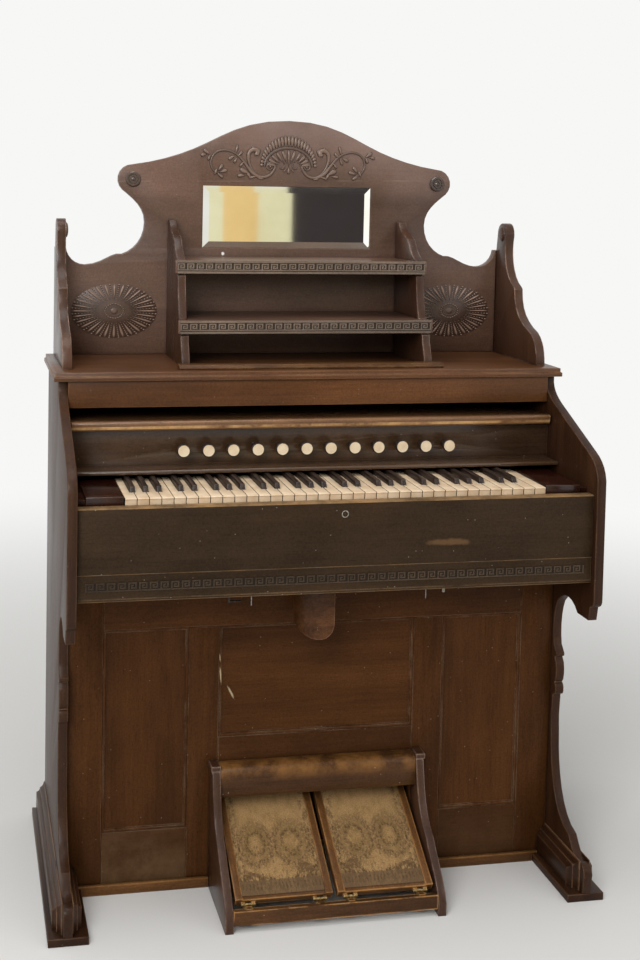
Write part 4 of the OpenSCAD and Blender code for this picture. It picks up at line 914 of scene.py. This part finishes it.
def carveShell():
    look = shellLook
    petal, lobe = petalShape(look["rayTaper"]), petalShape(look["leafTaper"])
    inner = tuple(reach + look["rayGap"] for reach in look["band"][:2])
    parts = shellFan(petal, look["rays"], inner, (look["wide"], look["high"]), look["rayWidth"])
    parts += shellFan(lobe, look["fingers"], look["fingerIn"], look["fingerOut"], look["fingerWidth"])
    parts.append(carvedStem("shellBand", bandKnots(), crestFace, look["bandFlat"]))
    for side in (1, -1):
        hollow = [(-side * x, look["middle"] + z, half) for x, z, half in hollowLine]
        for name, knots in (("shellVolute", voluteKnots(side)), ("shellStem", knotsAlong(stemLines, stemHalves, side)),
                            ("shellLeaf", knotsAlong(leafLines, leafHalves, side)), ("shellHollow", hollow)):
            parts.append(carvedStem(name, knots, crestFace, look["flat"]))
        bead = (side * look["volute"][0], look["middle"] + look["volute"][1])
        parts.append(addPetal(petal, bead, *look["bead"], face=crestFace))
        parts += [shellLobe(lobe, side, *leaf) for leaf in leafPetals]
    parts += [shellLobe(lobe, 1, *drop) for drop in middlePetals]
    removeShapes(petal, lobe)
    shell = joinAll("crestShell", parts)
    wood = woodMaterial(*look["wood"], reliefTones(crestFace, *look["tones"]))
    finishPiece(shell, wood, "case", "walnut", "crest_shell")


carveShell()
print("shell carved")


# The two sunbursts: smooth ridges between rows of beads, round a beaded oval; sizes are shares of its half width

sunLook = {"middle": (0.3925, 1.155), "wide": 0.097, "high": 0.061, "deep": 0.125,
           "rays": 28, "inner": 0.36, "ridge": (0.116, 0.03), "ridgeTaper": 1.1,
           "beads": 8, "beadIn": 0.46, "beadOut": 0.97, "beadSize": (0.024, 0.056), "beadLong": 1.15,
           "beadRise": 0.026, "beadSides": (8, 6),
           "ring": 0.212, "ringBeads": 22, "ringTall": 1.25, "ringBead": (0.052, 0.040, 0.032),
           "centre": (0.26, 0.20, 0.0125), "hoops": [(0.050, 0.010), (-0.050, 0.009)], "hoopSides": (64, 8),
           "ground": 0.008, "groundWide": 0.99, "groundSides": 72, "groundEase": 0.4,
           "wood": ("carvedWalnut", "X", 12), "tones": (0.0008, 0.0028, 0.35, 0.75)}


def sunPoint(radius, angle):
    return radius * math.cos(angle), radius * math.sin(angle)


def sunRays(ridge, bead):
    look, parts = sunLook, []
    ridgeWide, ridgeRise = look["ridge"]
    small, large = look["beadSize"]
    for i in range(look["rays"]):
        angle = 2 * math.pi * i / look["rays"]
        middle = sunPoint((look["inner"] + 1) / 2, angle)
        parts.append(addPetal(ridge, middle, 1 - look["inner"], ridgeWide, ridgeRise, math.pi / 2 - angle))
        angle += math.pi / look["rays"]
        for j in range(look["beads"]):
            share = j / (look["beads"] - 1)
            middle = sunPoint(look["beadIn"] + (look["beadOut"] - look["beadIn"]) * share, angle)
            size = small + (large - small) * share
            parts.append(addPetal(bead, middle, size * look["beadLong"], size, look["beadRise"],
                                  math.pi / 2 - angle))
    return parts


def sunRing(bead):
    look, parts = sunLook, []
    for i in range(look["ringBeads"]):
        x, z = sunPoint(look["ring"], 2 * math.pi * i / look["ringBeads"])
        parts.append(addPetal(bead, (x, z * look["ringTall"]), *look["ringBead"]))
    parts.append(addPetal(bead, (0, 0), *look["centre"]))
    around, across = look["hoopSides"]
    for away, half in look["hoops"]:
        hoop = addShape(bpy.ops.mesh.primitive_torus_add, "sunHoop", major_radius=look["ring"] + away,
                        minor_radius=half, major_segments=around, minor_segments=across, rotation=facingFront)
        hoop.scale = (1, 1, look["ringTall"])
        smoothShape(hoop)
        parts.append(hoop)
    return parts


def carveSunburst(name, side, *nodes):
    look = sunLook
    ridge, bead = petalShape(look["ridgeTaper"]), petalShape(0.0, *look["beadSides"])
    parts = sunRays(ridge, bead) + sunRing(bead)
    ground = addShape(bpy.ops.mesh.primitive_cylinder_add, "sunGround", vertices=look["groundSides"],
                      radius=look["groundWide"], depth=look["ground"], rotation=facingFront)
    applyPlace(ground)
    easeEdges(ground, look["ground"] * look["groundEase"])
    removeShapes(ridge, bead)
    sun = joinAll(name, parts + [ground])
    sun.matrix_world = (Matrix.Translation((side * look["middle"][0], crestFace, look["middle"][1]))
                        @ Matrix.Diagonal((look["wide"], look["deep"], look["high"], 1)))
    applyPlace(sun)
    wood = woodMaterial(*look["wood"], reliefTones(crestFace, *look["tones"]))
    finishPiece(sun, wood, "case", "walnut", *nodes)


carveSunburst("sunburstLeft", -1, "sunbursts")
carveSunburst("sunburstRight", 1)
print("sunbursts carved")


# Pressed key borders: raised frets on a thin strip, one grid cell to each step of the pattern

keyPattern = ("########", "#.......", "#.####..", "#.#..#..", "#.##.#..", "#....#..", "######..")  # bottom row first
plainStrip = ("########", "########", "........")
shelfRows = plainStrip + keyPattern + plainStrip[::-1]
borderLook = {"cell": 0.00254, "base": 0.0004, "fret": 0.0011, "near": 0.0001, "ground": (0.014, 0.009, 0.006, 1),
              "groundShare": 0.85}
borderPlaces = {
    "upperShelfBorder": {"node": "upper_shelf", "half": 0.280, "middle": 1.264, "high": 0.0276, "sunk": 0.0,
                         "rows": shelfRows, "wood": ("shelfBorder", 21)},
    "lowerShelfBorder": {"node": "lower_shelf", "half": 0.280, "middle": 1.140, "high": 0.0276, "sunk": 0.0,
                         "rows": shelfRows, "wood": ("shelfBorder", 22)},
    "slipBorder": {"node": "key_slip", "half": 0.505, "middle": 0.6845, "high": 0.0165, "sunk": 0.0015,
                   "rows": keyPattern, "wood": ("slipBorder", 23)}}


def groundBelow(level):
    # the ground between the frets, set back behind them, is darker
    def darkGround(place, color):
        deep = times(above(partOf(place, "Y"), level), borderLook["groundShare"])
        return mixColors(deep, color, borderLook["ground"])
    return darkGround


def pressBorder(name, place):
    look, pattern, high = borderLook, place["rows"], place["high"]
    period = len(pattern[0])
    columns = int(2 * place["half"] / look["cell"] / period) * period + 1
    wide = columns * look["cell"]
    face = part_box(place["node"])[0][1] + place["sunk"]
    front = face - look["base"]
    border = addShape(bpy.ops.mesh.primitive_grid_add, name, x_subdivisions=columns, y_subdivisions=len(pattern),
                      size=1, rotation=facingFront)
    border.scale = (wide, high, 1)
    border.location = (0, face, place["middle"])
    applyPlace(border)
    raiseFaces(border, look["base"])

    def onFret(cell):
        middle = cell.center
        if abs(middle.y - front) > look["near"] or abs(cell.normal.y) < 0.5:
            return False
        column = int((middle.x + wide / 2) / look["cell"])
        row = int((middle.z - place["middle"] + high / 2) / high * len(pattern))
        return pattern[row][column % period] == "#"

    raiseFaces(border, look["fret"], onFret)
    finish, seed = place["wood"]
    wood = woodMaterial(finish, "X", seed, groundBelow(front - look["fret"] / 2))
    finishPiece(border, wood, "case", slotOfNode[place["node"]])


for name, place in borderPlaces.items():
    pressBorder(name, place)
print("key borders pressed")


# Faces of the stop knobs: dished discs let into the turned knobs

discLook = {"radius": 0.0117, "thick": 0.0013, "proud": 0.0007, "rim": 0.0013, "inner": 0.00195, "dish": 0.0004,
            "ease": 0.0003, "sides": 40, "front": -0.9}


def knobDisc(number):
    look = discLook
    low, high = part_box(f"stop_{number}")
    middle = ((low[0] + high[0]) / 2, low[1] - look["proud"] + look["thick"] / 2, (low[2] + high[2]) / 2)
    disc = addShape(bpy.ops.mesh.primitive_cylinder_add, f"knobFace{number}", vertices=look["sides"],
                    radius=look["radius"], depth=look["thick"], location=middle, rotation=facingFront)
    applyPlace(disc)
    selectFaces(disc, lambda face: face.normal.y < look["front"])
    bpy.ops.mesh.inset(thickness=look["rim"])
    bpy.ops.transform.translate(value=(0, look["dish"], 0))
    bpy.ops.mesh.inset(thickness=look["inner"])
    bpy.ops.object.mode_set(mode="OBJECT")
    easeEdges(disc, look["ease"])
    finishPiece(disc, knobIvory, f"stop_{number}", "ivory")


for number in stopNumbers:
    knobDisc(number)
print("knob faces set")


# Carpets on the pedals: worn woven sheets laid between the battens

carpetLook = {"hinge": (-0.254, 0.046), "slope": 31, "start": 0.012, "stop": 0.279, "above": 0.0106,
              "inner": 0.020, "outer": 0.186, "play": 0.001, "thick": 0.0018, "cells": (60, 96),
              "wave": 0.0007, "waveSize": 0.03, "waveMiddle": 0.7, "smooth": 60}


def layCarpet(side, sign):
    look = carpetLook
    wide, long = look["outer"] - look["inner"] - look["play"], look["stop"] - look["start"]
    carpet = addShape(bpy.ops.mesh.primitive_grid_add, f"{side}Carpet", x_subdivisions=look["cells"][0],
                      y_subdivisions=look["cells"][1], size=1)
    carpet.scale = (wide, long, 1)
    carpet.location = (sign * (look["inner"] + look["outer"]) / 2, (look["start"] + look["stop"]) / 2, look["above"])
    applyPlace(carpet)
    waves = bpy.data.textures.new(f"{side}CarpetWaves", "CLOUDS")
    waves.noise_scale = look["waveSize"]
    applyModifier(carpet, "waves", "DISPLACE", texture=waves, strength=look["wave"],
                  mid_level=look["waveMiddle"], texture_coords="LOCAL")
    applyModifier(carpet, "cloth", "SOLIDIFY", thickness=look["thick"], offset=-1)
    carpet.matrix_world = (Matrix.Translation((0, *look["hinge"]))
                           @ Matrix.Rotation(math.radians(look["slope"]), 4, "X"))
    applyPlace(carpet)
    smoothShape(carpet, look["smooth"])
    finishPiece(carpet, carpetMaterial(f"{side}CarpetPile", side == "right"), f"{side}_pedal", "carpet",
                f"{side}_carpet")


layCarpet("left", -1)
layCarpet("right", 1)
print("carpets laid")


# Brass and steel: hinge sleeves and leaves, the lock's ring and keyhole, pins and a hook under the key bed

# rods are radius, length, axis, sides and easing
rodTurns = {"X": (0, math.pi / 2, 0), "Y": (math.pi / 2, 0, 0), "Z": (0, 0, 0)}
hingeLook = {"places": (0.031, 0.175), "axis": (-0.254, 0.046), "sleeve": 0.00358, "middle": 0.0118,
             "end": 0.0074, "endAt": 0.0102, "leaf": (0.022, 0.0085, 0.0012), "leafBack": 0.0032,
             "leafDown": 0.0035, "ease": 0.0003, "screw": (0.0016, 0.0012, "Z", 16, 0.0004),
             "screwAt": 0.0075, "screwBack": 0.004}


def turnedRod(name, place, radius, length, axis, sides=24, ease=0.0003):
    rod = addShape(bpy.ops.mesh.primitive_cylinder_add, name, vertices=sides, radius=radius, depth=length,
                   location=place, rotation=rodTurns[axis])
    applyPlace(rod)
    easeEdges(rod, ease)
    return rod


def hingeLeaf(x, y, z):
    look = hingeLook
    wide, deep, thick = look["leaf"]
    low = z - look["leafDown"]
    leaf = addShape(bpy.ops.mesh.primitive_cube_add, "leaf", size=1,
                    location=(x, y - deep / 2 - look["leafBack"], low + thick / 2))
    leaf.scale = look["leaf"]
    applyPlace(leaf)
    easeEdges(leaf, look["ease"])
    back = y - deep / 2 - look["screwBack"]
    return [leaf] + [turnedRod("screwHead", (x + off, back, low + thick), *look["screw"])
                     for off in (-look["screwAt"], look["screwAt"])]


def fitHinges(side, sign):
    look = hingeLook
    y, z = look["axis"]
    fixed, moving = [], []
    for at in look["places"]:
        x = sign * at
        fixed.append(turnedRod("sleeve", (x, y, z), look["sleeve"], look["middle"], "X"))
        fixed += hingeLeaf(x, y, z)
        moving += [turnedRod("sleeve", (x + off, y, z), look["sleeve"], look["end"], "X")
                   for off in (-look["endAt"], look["endAt"])]
    finishPiece(joinAll(f"{side}HingeLeaves", fixed), brass, "case", "worn_walnut")
    finishPiece(joinAll(f"{side}HingeSleeves", moving), brass, f"{side}_pedal", "worn_walnut")


lockLook = {"place": (0.001, 0.811), "radius": 0.0062, "half": 0.0011, "sides": (40, 10), "proud": 0.0001,
            "hole": (0.0017, 0.0005, "Y", 20, 0.0001), "slot": (0.0009, 0.0005, "Y", 12, 0.0001),
            "holeUp": 0.0012, "slotDown": 0.0018, "slotLong": 2.2}
# pins under the key bed: x, lower end, radius; then the bent hook beside them: x, lower end, reach, radius
pinLook = {"y": -0.120, "pins": [(-0.150, 0.594, 0.0014), (0.219, 0.594, 0.0012), (0.257, 0.606, 0.0036)],
           "hook": (-0.196, 0.602, 0.026, 0.0022)}


def fitLock():
    look = lockLook
    x, z = look["place"]
    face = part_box("key_slip")[0][1]
    ring = addShape(bpy.ops.mesh.primitive_torus_add, "lockRing", major_radius=look["radius"],
                    minor_radius=look["half"], major_segments=look["sides"][0], minor_segments=look["sides"][1],
                    location=(x, face, z), rotation=facingFront)
    smoothShape(ring)
    applyPlace(ring)
    finishPiece(ring, steel, "case", "key_slip_walnut")
    y, up = face - look["proud"], look["holeUp"]
    hole = turnedRod("lockHole", (x, y, z + up), *look["hole"])
    slot = turnedRod("lockSlot", (x, y, z - look["slotDown"]), *look["slot"])
    slot.matrix_world = (Matrix.Translation((0, 0, z - up)) @ Matrix.Diagonal((1, 1, look["slotLong"], 1))
                         @ Matrix.Translation((0, 0, up - z)))
    finishPiece(joinAll("lockKeyhole", [hole, slot]), blackWood, "case", "ebony")


def hangPins():
    y, top = pinLook["y"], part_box("key_bed")[0][2]

    def hangRod(name, x, low, radius):
        return turnedRod(name, (x, y, (top + low) / 2), radius, top - low, "Z")

    pins = joinAll("bedPins", [hangRod("pin", *pin) for pin in pinLook["pins"]])
    finishPiece(pins, steel, "case", "inner_wood")
    x, low, reach, radius = pinLook["hook"]
    foot = turnedRod("hook", (x + reach / 2 - radius, y, low + radius), radius, reach, "X")
    hook = joinAll("bedHook", [hangRod("hook", x, low, radius), foot])
    finishPiece(hook, darkIron, "case", "inner_wood")


fitHinges("left", -1)
fitHinges("right", 1)
fitLock()
hangPins()
print("metal fitted")


# Floor, cards and light

stageLook = {"floor": (0.80, 0.79, 0.77, 1), "radius": 9, "sides": 96, "rough": 0.85, "shine": 0.2,
             "fade": (0.8, 3.6), "world": (0.93, 0.93, 0.92, 1), "worldLight": 0.45, "aim": (0, 0, 0.8),
             "cardRough": 0.9,
             "lamps": [("keyLamp", (-1.9, -2.9, 2.7), 1.8, 84), ("fillLamp", (2.8, -3.2, 1.6), 2.5, 24),
                       ("topLamp", (-0.4, -0.5, 4.0), 2.0, 40)]}
cardLook = {"greyCard": {"from": (1.47, -5.5), "size": (4.2, 2.7), "color": (0.050, 0.042, 0.044, 1)},
            "goldCard": {"from": (5.75, -5.5), "size": (3.2, 2.7), "color": (0.92, 0.76, 0.46, 1)},
            "amberCard": {"from": (1.02, -5.6), "size": (0.24, 2.7), "color": (0.93, 0.66, 0.30, 1)},
            "creamCard": {"from": (0.10, -5.7), "size": (1.60, 2.7), "color": (0.90, 0.86, 0.60, 1)}}


def seenRays(tree):
    rays = addNode(tree, "LightPath").outputs
    return largest(rays["Is Camera Ray"], rays["Is Glossy Ray"], rays["Is Transmission Ray"])


def glowWhere(tree, shader, share, color):
    glow = addNode(tree, "Emission", {"Color": color, "Strength": 1.0})
    mix = addNode(tree, "MixShader", {0: share, 1: shader.outputs["BSDF"], 2: glow.outputs[0]})
    fillInputs(tree.nodes["Material Output"], {"Surface": mix.outputs[0]})


def addFloor():
    # the floor runs into the backdrop for what looks at it, and keeps the shadow near the feet
    look = stageLook
    floor = addShape(bpy.ops.mesh.primitive_circle_add, "paleFloor", vertices=look["sides"],
                     radius=look["radius"], fill_type="NGON", location=(0, 0, 0))
    material, tree, shader = newMaterial("paleFloor")
    fillInputs(shader, {"Base Color": look["floor"], "Roughness": look["rough"], "Specular IOR Level": look["shine"]})
    fade = remap(lengthOf(objectPlace(tree)), *look["fade"], interpolation_type="SMOOTHSTEP")
    glowWhere(tree, shader, times(seenRays(tree), fade), look["world"])
    setMaterial(floor, material)


def addCards():
    # plain cards on the studio floor behind the camera that glow in their own colour where glossy rays see them:
    # painted reflections for the mirror and the varnish
    for name, look in cardLook.items():
        (x, y), (wide, high) = look["from"], look["size"]
        card = addShape(bpy.ops.mesh.primitive_plane_add, name, size=1, location=(x + wide / 2, y, high / 2),
                        rotation=facingFront)
        card.scale = (wide, high, 1)
        material, tree, shader = newMaterial(name)
        fillInputs(shader, {"Base Color": look["color"], "Roughness": stageLook["cardRough"]})
        # the cards glow only for glossy rays: a painted reflection
        glossy = addNode(tree, "LightPath").outputs["Is Glossy Ray"]
        glowWhere(tree, shader, glossy, look["color"])
        setMaterial(card, material)
        card.visible_camera = False


def addLamps():
    for name, place, size, watts in stageLook["lamps"]:
        bpy.ops.object.light_add(type="AREA", location=place)
        lamp = bpy.context.object
        lamp.name = name
        lamp.data.size, lamp.data.energy = size, watts
        lamp.rotation_euler = (Vector(stageLook["aim"]) - lamp.location).to_track_quat("-Z", "Y").to_euler()


def addWorld():
    world = bpy.data.worlds.new("studio")
    bpy.context.scene.world = world
    world.use_nodes = True
    tree = world.node_tree
    tree.nodes.clear()
    light, backdrop = (addNode(tree, "Background", {"Color": stageLook["world"], "Strength": strength})
                       for strength in (stageLook["worldLight"], 1.0))
    mix = addNode(tree, "MixShader", {0: seenRays(tree), 1: light.outputs[0], 2: backdrop.outputs[0]})
    addNode(tree, "OutputWorld", {"Surface": mix.outputs[0]})


addFloor()
addCards()
addLamps()
addWorld()
bpy.context.scene.view_settings.view_transform = "Standard"
print("stage set")
